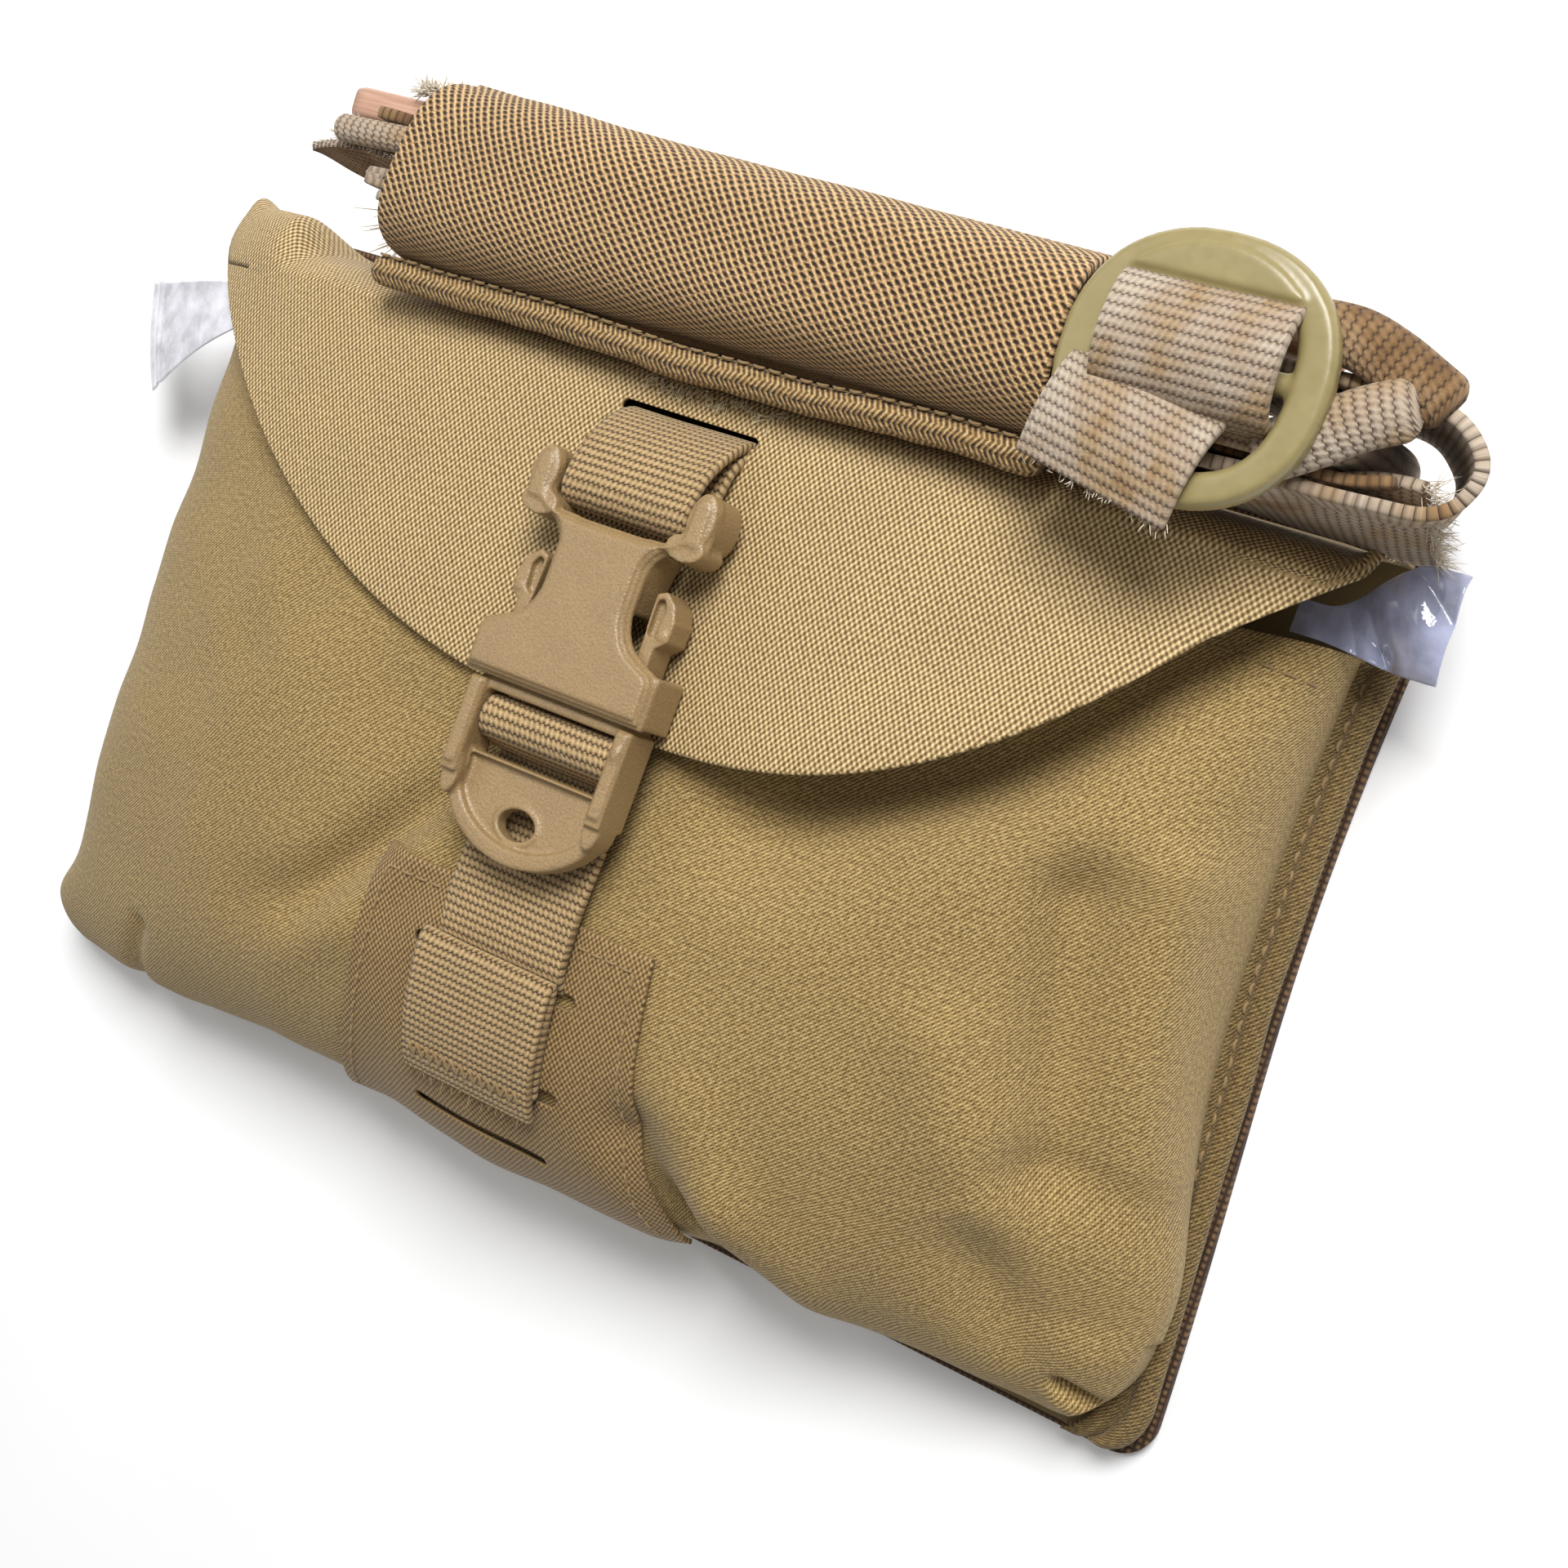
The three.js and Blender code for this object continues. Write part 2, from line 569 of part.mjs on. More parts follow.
const COLOURS = {
  stretchFabric: 0x9f8856, laminate: 0xb59d6d, platform: 0x4d3a26, elastic: 0xa48a5c, webbing: 0xb39a70,
  buckle: 0xb8a078, camouflage: 0xb5a083, windlass: 0xd1ac95, ring: 0xb8a87f, film: 0xe2e4ea, gauze: 0xece9e0,
};

function material(colour, roughness = 0.9, metalness = 0) {
  return new THREE.MeshStandardMaterial({ color: COLOURS[colour], roughness, metalness });
}

function piece(name, geometry, finish) {
  const mesh = new THREE.Mesh(closed(geometry), finish);
  mesh.name = name;
  return mesh;
}

function pouchGroup() {
  const stretch = material('stretchFabric');
  const laminate = material('laminate', 0.8);
  const webbing = material('webbing');
  const film = material('film', 0.15);
  const gauze = material('gauze');
  const group = new THREE.Group();
  group.add(
    piece('rear_platform', rearPlatform(), material('platform')),
    piece('back_panel', backPanel(), laminate),
    piece('front_panel', frontPanel(), stretch),
    piece('side_seam_left', sideSeam(-1), stretch),
    piece('side_seam_right', sideSeam(1), stretch),
    piece('front_patch', frontPatch(), laminate),
    piece('strap_lower', strapLower(), webbing),
    piece('strap_stop', strapStop(), webbing),
    piece('flap_spine', flapSpine(), laminate),
    piece('tourniquet_sleeve', tourniquetSleeve(), material('elastic')),
    piece('sleeve_hem', sleeveHem(), material('elastic')),
    piece('pressure_dressing', cushion(-60, 2, -38, 28, BASE + GAP, 26, 8), gauze),
    piece('gauze_pack', cushion(5, 58, -38, 28, BASE + GAP, 26, 8), gauze),
    piece('film_corner_right', sheet(filmCornerSurface, 12, 4, -0.3, 0.3), film),
    piece('film_tab_left', sheet(filmTabSurface, 8, 2, -0.3, 0.3), film),
  );
  return group;
}

function buckleGroup() {
  const plastic = material('buckle', 0.55);
  const webbing = material('webbing');
  const group = new THREE.Group();
  group.add(
    piece('buckle_female', buckleFemale(), plastic),
    piece('flap_webbing', flapWebbing(), webbing),
    piece('buckle_frame', buckleFrame(), plastic),
    piece('buckle_arm_left', buckleArm(-1), plastic),
    piece('buckle_arm_right', buckleArm(1), plastic),
    piece('strap_over_bar', strapOverBar(), webbing),
  );
  group.position.set(BUCKLE.x, BUCKLE.y, BUCKLE.z);
  group.rotation.x = BUCKLE.tilt;
  return group;
}

function tourniquetGroup() {
  const strap = material('camouflage');
  const group = new THREE.Group();
  group.add(
    piece('strap_fold_outer', strapFoldOuter(), strap),
    piece('strap_fold_middle', strapFoldMiddle(), strap),
    piece('strap_core', plate(roundedRectangle(-50, 64, 60.6, 65.2, 1.5), STRAP_LOW, STRAP_HIGH, 4), strap),
    piece('strap_fold_upper', plate(roundedRectangle(79.2, 89.2, 68, 75, 1.5), 37.3, 40.6, 3), strap),
    piece('strap_fold_finger', plate(roundedRectangle(79.2, 87.4, 60, 66.6, 2.8), 37.3, 41.4, 4), strap),
    piece('strap_frayed_end', strapFrayedEnd(), strap),
    piece('strap_leaf_end', strapLeafEnd(), strap),
    piece('windlass', windlassBar(), material('windlass', 0.35, 0.8)),
    piece('windlass_ribbon', windlassRibbon(), strap),
    piece('ring_strap', ringStrap(), strap),
    piece('ring_tail', ringTail(), strap),
    piece('securing_ring', securingRing(), material('ring', 0.5)),
  );
  return group;
}

const pouch = new THREE.Group();
const flap = piece('flap_front', flapFront(), material('laminate', 0.8));
pouch.add(pouchGroup(), flap, buckleGroup(), tourniquetGroup());

export default pouch;
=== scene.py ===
"""A trauma pouch with a windlass tourniquet stowed in the sleeve on its top fold.

Pieces are drawn in millimetres in the CAD frame: X across the pouch, Y from its bottom to its mouth, Z out of
its front. They are scaled to metres as each mesh is made. Every UV map is in millimetres along the cloth.
"""

import math
import random

import bmesh
import bpy
import numpy as np
from mathutils import Matrix, Vector
from mathutils.bvhtree import BVHTree
from mathutils.geometry import tessellate_polygon


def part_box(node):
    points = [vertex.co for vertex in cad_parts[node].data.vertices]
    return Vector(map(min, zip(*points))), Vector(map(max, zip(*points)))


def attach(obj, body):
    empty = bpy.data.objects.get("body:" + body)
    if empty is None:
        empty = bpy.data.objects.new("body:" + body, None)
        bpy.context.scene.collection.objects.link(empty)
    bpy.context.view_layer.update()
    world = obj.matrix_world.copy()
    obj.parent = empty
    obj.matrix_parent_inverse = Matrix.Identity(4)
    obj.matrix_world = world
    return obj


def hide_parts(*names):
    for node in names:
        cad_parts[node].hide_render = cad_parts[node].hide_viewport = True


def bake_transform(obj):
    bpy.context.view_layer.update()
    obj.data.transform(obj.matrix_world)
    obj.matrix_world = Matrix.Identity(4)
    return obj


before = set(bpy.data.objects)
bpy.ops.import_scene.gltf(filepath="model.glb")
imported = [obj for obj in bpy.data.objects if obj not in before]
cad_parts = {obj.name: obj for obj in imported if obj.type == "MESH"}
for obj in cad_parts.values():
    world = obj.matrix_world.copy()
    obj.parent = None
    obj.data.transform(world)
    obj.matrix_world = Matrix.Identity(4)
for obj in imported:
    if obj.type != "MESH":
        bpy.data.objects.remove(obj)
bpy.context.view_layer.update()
random.seed(7)

MM = 0.001

# ---------- driving sizes, as in the CAD ----------

BASE = 3.2                       # height of the front panel's foot above the floor
HALF_WIDTH = 85.2
BOTTOM = -55.5
MOUTH = 42.0
CROWN = 32.8
MOUTH_DROP = 8.0
FOLD_REACH = 50.0
SQUARENESS = 2.8
DENT_X = 2.4
PINCH = (3.6, 16.0, 50.0)        # how far, where and along what length the stuffing draws the sides in

FLAP_HALF = 94.0
FLAP_LIFT = 1.0
FLAP_TIP = 6.4
FLAP_LEFT_CURVE = 0.0056
FLAP_RIGHT_CURVE = 0.00009
FLAP_STRAIGHT_FROM = (71.0, 38.6)    # where the flap's right edge turns straight
FLAP_STRAIGHT_SLOPE = 0.98
FLAP_BACK = 54.4                 # where the flap is sewn to the back
FLAP_REACH = 88.2
FLAP_DRAWN_IN_FROM = 82.5        # where the flap's right end starts to be drawn in
HINGE_Y = 47.6

BUCKLE_AT = (2.4, 7.9, 35.3)
BUCKLE_TILT = math.radians(-5)

WEB_HALF = 9.3                   # half the width of the pouch's webbing
RING_X = 64.0
RING_Y = 65.3
RING_Z = 39.3
RING_HEIGHT = 3.2

WELD_DISTANCE = 1e-6             # in metres
EDGE_SHARES = (0.28, 0.72)       # heights of the two rings that round a sheet's cut edge
EDGE_BULGE = 0.12
ABOVE = 200.0                    # a height over every piece
STITCH_SHARES = (0, 0.12, 0.35, 0.65, 0.88, 1)
STITCH_SIZES = np.array([0.35, 0.85, 1.0, 1.0, 0.85, 0.35])
FIBRE_SIZES = np.array([1, 1, 1, 0.9, 0.8, 0.4])


# ---------- small geometry helpers ----------

def srgb(red, green, blue):
    """A colour given as 0 to 255 screen values, as linear light."""
    values = np.array([red, green, blue]) / 255.0
    return tuple(np.where(values <= 0.04045, values / 12.92, ((values + 0.055) / 1.055) ** 2.4))


def smoothstep(low, high, value):
    t = np.clip((value - low) / (high - low), 0.0, 1.0)
    return t * t * (3.0 - 2.0 * t)


def bell(value, middle, width):
    return np.exp(-(((value - middle) / width) ** 2))


def lattice(x, y, seed):
    """Repeatable random values from -1 to 1 at whole numbers."""
    mixed = np.sin(x * 127.1 + y * 311.7 + seed * 74.7) * 43758.5453
    return 2.0 * (mixed - np.floor(mixed)) - 1.0


def value_noise(x, y, seed=0):
    """Smooth noise from -1 to 1 with a wavelength of about 1."""
    x0, y0 = np.floor(x), np.floor(y)
    fx, fy = x - x0, y - y0
    fx, fy = fx * fx * (3 - 2 * fx), fy * fy * (3 - 2 * fy)
    low = lattice(x0, y0, seed) * (1 - fx) + lattice(x0 + 1, y0, seed) * fx
    high = lattice(x0, y0 + 1, seed) * (1 - fx) + lattice(x0 + 1, y0 + 1, seed) * fx
    return low * (1 - fy) + high * fy


def segment_distance(x, y, start, end):
    """Distance to the segment from start to end, and how far along it the nearest point is, from 0 to 1."""
    ax, ay = start
    dx, dy = end[0] - ax, end[1] - ay
    along = np.clip(((x - ax) * dx + (y - ay) * dy) / (dx * dx + dy * dy), 0.0, 1.0)
    return np.hypot(x - ax - along * dx, y - ay - along * dy), along


def side_of(x, y, start, end):
    """Signed distance across the line from start to end, positive on its left."""
    dx, dy = end[0] - start[0], end[1] - start[1]
    return (dx * (y - start[1]) - dy * (x - start[0])) / math.hypot(dx, dy)


def crease(x, y, start, end, width, depth):
    """A valley along the segment with a soft raised lip on its left."""
    distance, along = segment_distance(x, y, start, end)
    fade = np.sin(np.pi * (0.12 + 0.76 * along))
    valley = -depth * np.exp(-((distance / width) ** 2)) * fade
    across = side_of(x, y, start, end)
    lip = 0.6 * depth * bell(across, 1.7 * width, width) * np.exp(-((distance / (3 * width)) ** 2)) * fade
    return valley + lip


def lengths(points):
    """How far along a line each of its points is."""
    return np.concatenate([[0], np.cumsum(np.linalg.norm(np.diff(points, axis=0), axis=1))])


def unit(vectors):
    return vectors / np.maximum(np.linalg.norm(vectors, axis=-1, keepdims=True), 1e-9)


def signed_power(value, exponent):
    """The value raised to the exponent, with its own sign."""
    return np.sign(value) * np.abs(value) ** exponent


def shares(columns, rows):
    """Even shares from 0 to 1 across and along a grid."""
    return np.linspace(0, 1, columns)[:, None], np.linspace(0, 1, rows)[None, :]


def catmull(points, count):
    """A smooth line through the points, with count points on it."""
    points = np.asarray(points, float)
    ring = np.vstack([2 * points[0] - points[1], points, 2 * points[-1] - points[-2]])
    spans = len(points) - 1
    steps = np.linspace(0, spans, count)
    index = np.minimum(steps.astype(int), spans - 1)
    t = (steps - index)[:, None]
    p0, p1, p2, p3 = (ring[index + k] for k in range(4))
    return 0.5 * (2 * p1 + (p2 - p0) * t + (2 * p0 - 5 * p1 + 4 * p2 - p3) * t**2
                  + (3 * p1 - p0 - 3 * p2 + p3) * t**3)


def make_object(name, verts, faces, material, uv=None):
    """A smooth mesh object from points in millimetres. uv has one pair for each vertex, in millimetres."""
    mesh = bpy.data.meshes.new(name)
    mesh.from_pydata((np.asarray(verts, float) * MM).tolist(), [], [list(map(int, face)) for face in faces])
    mesh.update()
    if uv is not None:
        layer = mesh.uv_layers.new(name="UVMap")
        loops = np.empty(len(mesh.loops), int)
        mesh.loops.foreach_get("vertex_index", loops)
        layer.data.foreach_set("uv", np.asarray(uv, float)[loops].ravel())
    return link_smooth(name, mesh, [material])


def link_smooth(name, mesh, materials):
    """Puts a finished mesh in the scene as a smooth object with those materials."""
    mesh.polygons.foreach_set("use_smooth", [True] * len(mesh.polygons))
    mesh.materials.clear()
    for material in materials:
        mesh.materials.append(material)
    piece = bpy.data.objects.new(name, mesh)
    bpy.context.scene.collection.objects.link(piece)
    return piece


def grid_normals(points):
    return unit(np.cross(np.gradient(points, axis=0), np.gradient(points, axis=1)))


def arc_uv(points, origin=None):
    """UVs as lengths along the cloth: u from the middle column, v from the row that origin names.

    Without an origin, v is the middle column's length from its first row, for every column.
    """
    columns, rows = points.shape[:2]
    step_u = np.linalg.norm(np.diff(points, axis=0), axis=2)
    step_v = np.linalg.norm(np.diff(points, axis=1), axis=2)
    u = np.vstack([np.zeros(rows), np.cumsum(step_u, axis=0)])
    v = np.hstack([np.zeros((columns, 1)), np.cumsum(step_v, axis=1)])
    centre = (columns - 1) // 2
    u = u - u[centre]
    if origin is None:
        return np.dstack(np.broadcast_arrays(u, v[centre][None, :]))
    return np.dstack(np.broadcast_arrays(u[:, origin][:, None], v - v[:, origin][:, None]))


def cloth(name, points, thickness, material, uv=None, lift=0.0, closed_u=False, edge=None):
    """A closed sheet around a grid of points.

    lift is where its underside lies along the normal, and edge is the material of its cut edge.
    """
    normal = grid_normals(points)
    if closed_u:
        normal = grid_normals(np.concatenate([points[-2:-1], points, points[1:2]], axis=0))[1:-1]
    uv = arc_uv(points) if uv is None else uv
    columns, rows = points.shape[:2]
    count = columns * rows
    verts = np.concatenate([(points + normal * lift).reshape(-1, 3),
                            (points + normal * (lift + thickness)).reshape(-1, 3)])
    uvs = np.concatenate([uv.reshape(-1, 2)] * 2)
    index = np.arange(count).reshape(columns, rows)
    a, b = index[:-1, :-1].ravel(), index[1:, :-1].ravel()
    c, d = index[1:, 1:].ravel(), index[:-1, 1:].ravel()
    faces = [np.stack([a, b, c, d], 1) + count, np.stack([d, c, b, a], 1)]
    sheet_faces = 2 * len(a)
    all_verts, all_uvs, start = [verts], [uvs], len(verts)
    for loop in border(index, closed_u):
        low, high = verts[loop], verts[loop + count]
        outward = edge_outward(points, normal, loop)
        chain = [loop]
        for share in EDGE_SHARES:
            chain.append(np.arange(start, start + len(loop)))
            all_verts.append(low + (high - low) * share + outward * thickness * EDGE_BULGE)
            all_uvs.append(uvs[loop])
            start += len(loop)
        chain.append(loop + count)
        for one, two in zip(chain[:-1], chain[1:]):
            faces.append(np.stack([one, np.roll(one, -1), np.roll(two, -1), two], 1))
    faces = np.vstack(faces)
    piece = make_object(name, np.concatenate(all_verts), faces, material, np.concatenate(all_uvs))
    if edge is not None:
        piece.data.materials.append(edge)
        piece.data.polygons.foreach_set("material_index", (np.arange(len(faces)) >= sheet_faces).astype(int))
    if closed_u:
        weld(piece)
    return piece


def border(index, closed_u):
    """The loops of vertices round the sheet's edge, anticlockwise seen from its top."""
    if closed_u:
        return [index[:-1, 0], index[:-1, -1][::-1]]
    return [np.concatenate([index[:, 0], index[-1, 1:], index[-2::-1, -1], index[0, -2:0:-1]])]


def edge_outward(points, normal, loop):
    flat = points.reshape(-1, 3)[loop]
    tangent = np.roll(flat, -1, 0) - np.roll(flat, 1, 0)
    return unit(np.cross(tangent, normal.reshape(-1, 3)[loop]))


def edit_mesh(piece, operation):
    shape = bmesh.new()
    shape.from_mesh(piece.data)
    operation(shape)
    shape.to_mesh(piece.data)
    shape.free()


def weld(piece):
    """Joins vertices that lie in one place."""
    edit_mesh(piece, lambda shape: bmesh.ops.remove_doubles(shape, verts=shape.verts, dist=WELD_DISTANCE))


def fix_normals(piece):
    """Turns every face outward."""
    edit_mesh(piece, lambda shape: bmesh.ops.recalc_face_normals(shape, faces=shape.faces))


def ring_faces(count, sides):
    """The faces of a closed tube of count rings."""
    index = np.arange(count * sides).reshape(count, sides)
    ahead = np.roll(index, -1, axis=1)
    around = np.stack([index[:-1].ravel(), index[1:].ravel(), ahead[1:].ravel(), ahead[:-1].ravel()], 1)
    return [*around.tolist(), index[0].tolist(), index[-1][::-1].tolist()]


def tube_mesh(points, radii, sides, squash=1.0, up=(0, 0, 1)):
    """Points, faces and UVs of a closed tube along the points."""
    points = np.asarray(points, float)
    radii = np.broadcast_to(radii, len(points)).astype(float)
    tangent = unit(np.gradient(points, axis=0))
    side = unit(np.cross(tangent, np.array(up, float)))
    over = np.cross(side, tangent)
    angle = np.linspace(0, 2 * np.pi, sides, endpoint=False)
    rings = (points[:, None, :]
             + side[:, None, :] * (np.cos(angle)[None, :, None] * radii[:, None, None])
             + over[:, None, :] * (np.sin(angle)[None, :, None] * radii[:, None, None] * squash))
    uv = np.dstack(np.broadcast_arrays((angle * radii.max())[None, :], lengths(points)[:, None]))
    return rings.reshape(-1, 3), ring_faces(len(points), sides), uv.reshape(-1, 2)


def merge(parts):
    """Joins (points, faces, uv) parts into one."""
    verts, faces, uvs, start = [], [], [], 0
    for part_verts, part_faces, part_uv in parts:
        verts.append(part_verts)
        uvs.append(part_uv)
        faces.extend([[i + start for i in face] for face in part_faces])
        start += len(part_verts)
    return np.concatenate(verts), faces, np.concatenate(uvs)


def resample(points, spacing):
    """Points along the same line at an even spacing, with their directions."""
    points = np.asarray(points, float)
    length = lengths(points)
    count = max(2, int(round(length[-1] / spacing)))
    at = (np.arange(count) + 0.5) * length[-1] / count
    even = np.stack([np.interp(at, length, points[:, k]) for k in range(3)], 1)
    return even, unit(np.gradient(even, axis=0))


def stitches(name, points, normals, slot, spacing, stitch, radius):
    """A row of brown thread stitches along a line on the pouch, each sunk at its two ends."""
    even, direction = resample(points, spacing)
    length = lengths(points)
    at = (np.arange(len(even)) + 0.5) * length[-1] / len(even)
    up = unit(np.stack([np.interp(at, length, np.asarray(normals)[:, k]) for k in range(3)], 1))
    parts = []
    for centre, ahead, lift in zip(even, direction, up):
        wobble = np.cross(lift, ahead) * (0.06 * (random.random() - 0.5))
        line = [centre + ahead * stitch * (t - 0.5) + wobble
                + lift * radius * (1.5 * math.sin(math.pi * t) - 0.6) for t in STITCH_SHARES]
        parts.append(tube_mesh(line, radius * STITCH_SIZES, 7, up=lift))
    verts, faces, uv = merge(parts)
    place(make_object(name, verts, faces, THREAD, uv), "pouch", slot)


def web(name, path, half, thickness, material, middle, steps, axis=0, wave=0.12, across=22, seed=1,
        shape=None):
    """Webbing: its width lies along one axis and its length follows a line in the plane of the other two."""
    line = catmull(path, steps)
    width = np.linspace(-1, 1, across)[:, None]
    points = np.zeros((across, steps, 3))
    first, second = [k for k in range(3) if k != axis]
    points[:, :, first] = line[:, 0]
    points[:, :, second] = line[:, 1]
    points[:, :, axis] = middle + half * width
    if shape is not None:
        points = shape(points)
    length = lengths(line)
    ripple = value_noise(length[None, :] / 7.0, width * 1.2 + 3.3, seed)
    points = points + grid_normals(points) * (wave * ripple)[:, :, None]
    uv = np.dstack(np.broadcast_arrays(half * width, length[None, :]))
    return cloth(name, points, thickness, material, uv=uv, lift=-thickness / 2)


def place(piece, body, slot, *nodes):
    """Puts a finished piece on its body and hides the CAD nodes it stands for. slot is not used."""
    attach(piece, body)
    if nodes:
        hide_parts(*nodes)


# ---------- moulded plastic: prisms fused by a voxel remesh ----------

def prism(loops, low, high):
    """A straight-sided solid from an outline and any holes in it."""
    loops = [np.asarray(loop, float) for loop in loops]
    flat = np.concatenate(loops)
    count = len(flat)
    triangles = tessellate_polygon([[Vector((x, y, 0)) for x, y in loop] for loop in loops])
    verts = np.vstack([np.column_stack([flat, np.full(count, level)]) for level in (low, high)])
    faces = [[a, b, c] for a, b, c in triangles]
    faces += [[c + count, b + count, a + count] for a, b, c in triangles]
    start = 0
    for loop in loops:
        here = [start + i for i in range(len(loop))]
        after = here[1:] + here[:1]
        faces += [[a, b, count + b, count + a] for a, b in zip(here, after)]
        start += len(loop)
    return verts, faces, np.zeros((2 * count, 2))


def mirrored(half_outline):
    """A closed outline from its right half, listed from bottom to top."""
    right = np.asarray(half_outline, float)
    left = right[::-1] * [-1, 1]
    return np.vstack([right, left])


def ellipse(x, y, radius_x, radius_y, count=28):
    angle = np.linspace(0, 2 * np.pi, count, endpoint=False)
    return np.column_stack([x + radius_x * np.cos(angle), y + radius_y * np.sin(angle)])


def rectangle(x0, x1, y0, y1):
    return np.array([[x0, y0], [x1, y0], [x1, y1], [x0, y1]], float)


def rounded(x0, x1, y0, y1, radius, steps=6):
    """A rectangle with rounded corners, anticlockwise from its lower right corner."""
    corners = [(x1 - radius, y0 + radius, -90), (x1 - radius, y1 - radius, 0),
               (x0 + radius, y1 - radius, 90), (x0 + radius, y0 + radius, 180)]
    points = []
    for cx, cy, start in corners:
        for k in range(steps + 1):
            angle = math.radians(start + 90 * k / steps)
            points.append((cx + radius * math.cos(angle), cy + radius * math.sin(angle)))
    return np.array(points)


def moulded(name, parts, material, voxel, smoothing, matrix=None):
    """Fuses overlapping parts into one skin with softened edges, as a moulding has."""
    verts, faces, _ = merge(parts)
    piece = make_object(name, verts, faces, material)
    fix_normals(piece)
    remesh = piece.modifiers.new("fuse", "REMESH")
    remesh.mode = "VOXEL"
    remesh.voxel_size = voxel * MM
    soften = piece.modifiers.new("soften", "SMOOTH")
    soften.iterations = smoothing
    soften.factor = 0.5
    return applied(piece, [material], matrix)


def applied(piece, materials, matrix=None):
    """The piece with its modifiers made final, moved by a matrix if one is given."""
    name = piece.name
    evaluated = piece.evaluated_get(bpy.context.evaluated_depsgraph_get())
    mesh = bpy.data.meshes.new_from_object(evaluated)
    bpy.data.objects.remove(piece)
    if matrix is not None:
        mesh.transform(matrix)
    return link_smooth(name, mesh, materials)


def cut_slots(piece, materials, slots):
    """Cuts each slot, given as the ends of its line, its width and its heights, through the sheet along Z."""
    parts = []
    for (x0, y0), (x1, y1), width, low, high in slots:
        length = math.hypot(x1 - x0, y1 - y0)
        outline = rounded(-length / 2, length / 2, -width / 2, width / 2, width * 0.49)
        angle = math.atan2(y1 - y0, x1 - x0)
        turn = np.array([[math.cos(angle), math.sin(angle)], [-math.sin(angle), math.cos(angle)]])
        parts.append(prism([outline @ turn + [(x0 + x1) / 2, (y0 + y1) / 2]], low, high))
    verts, faces, _ = merge(parts)
    tool = make_object("tool", verts, faces, materials[0])
    fix_normals(tool)
    cutter = piece.modifiers.new("slots", "BOOLEAN")
    cutter.operation = "DIFFERENCE"
    cutter.object = tool
    cutter.solver = "EXACT"
    result = applied(piece, materials)
    bpy.data.objects.remove(tool)
    return result


# ---------- materials ----------

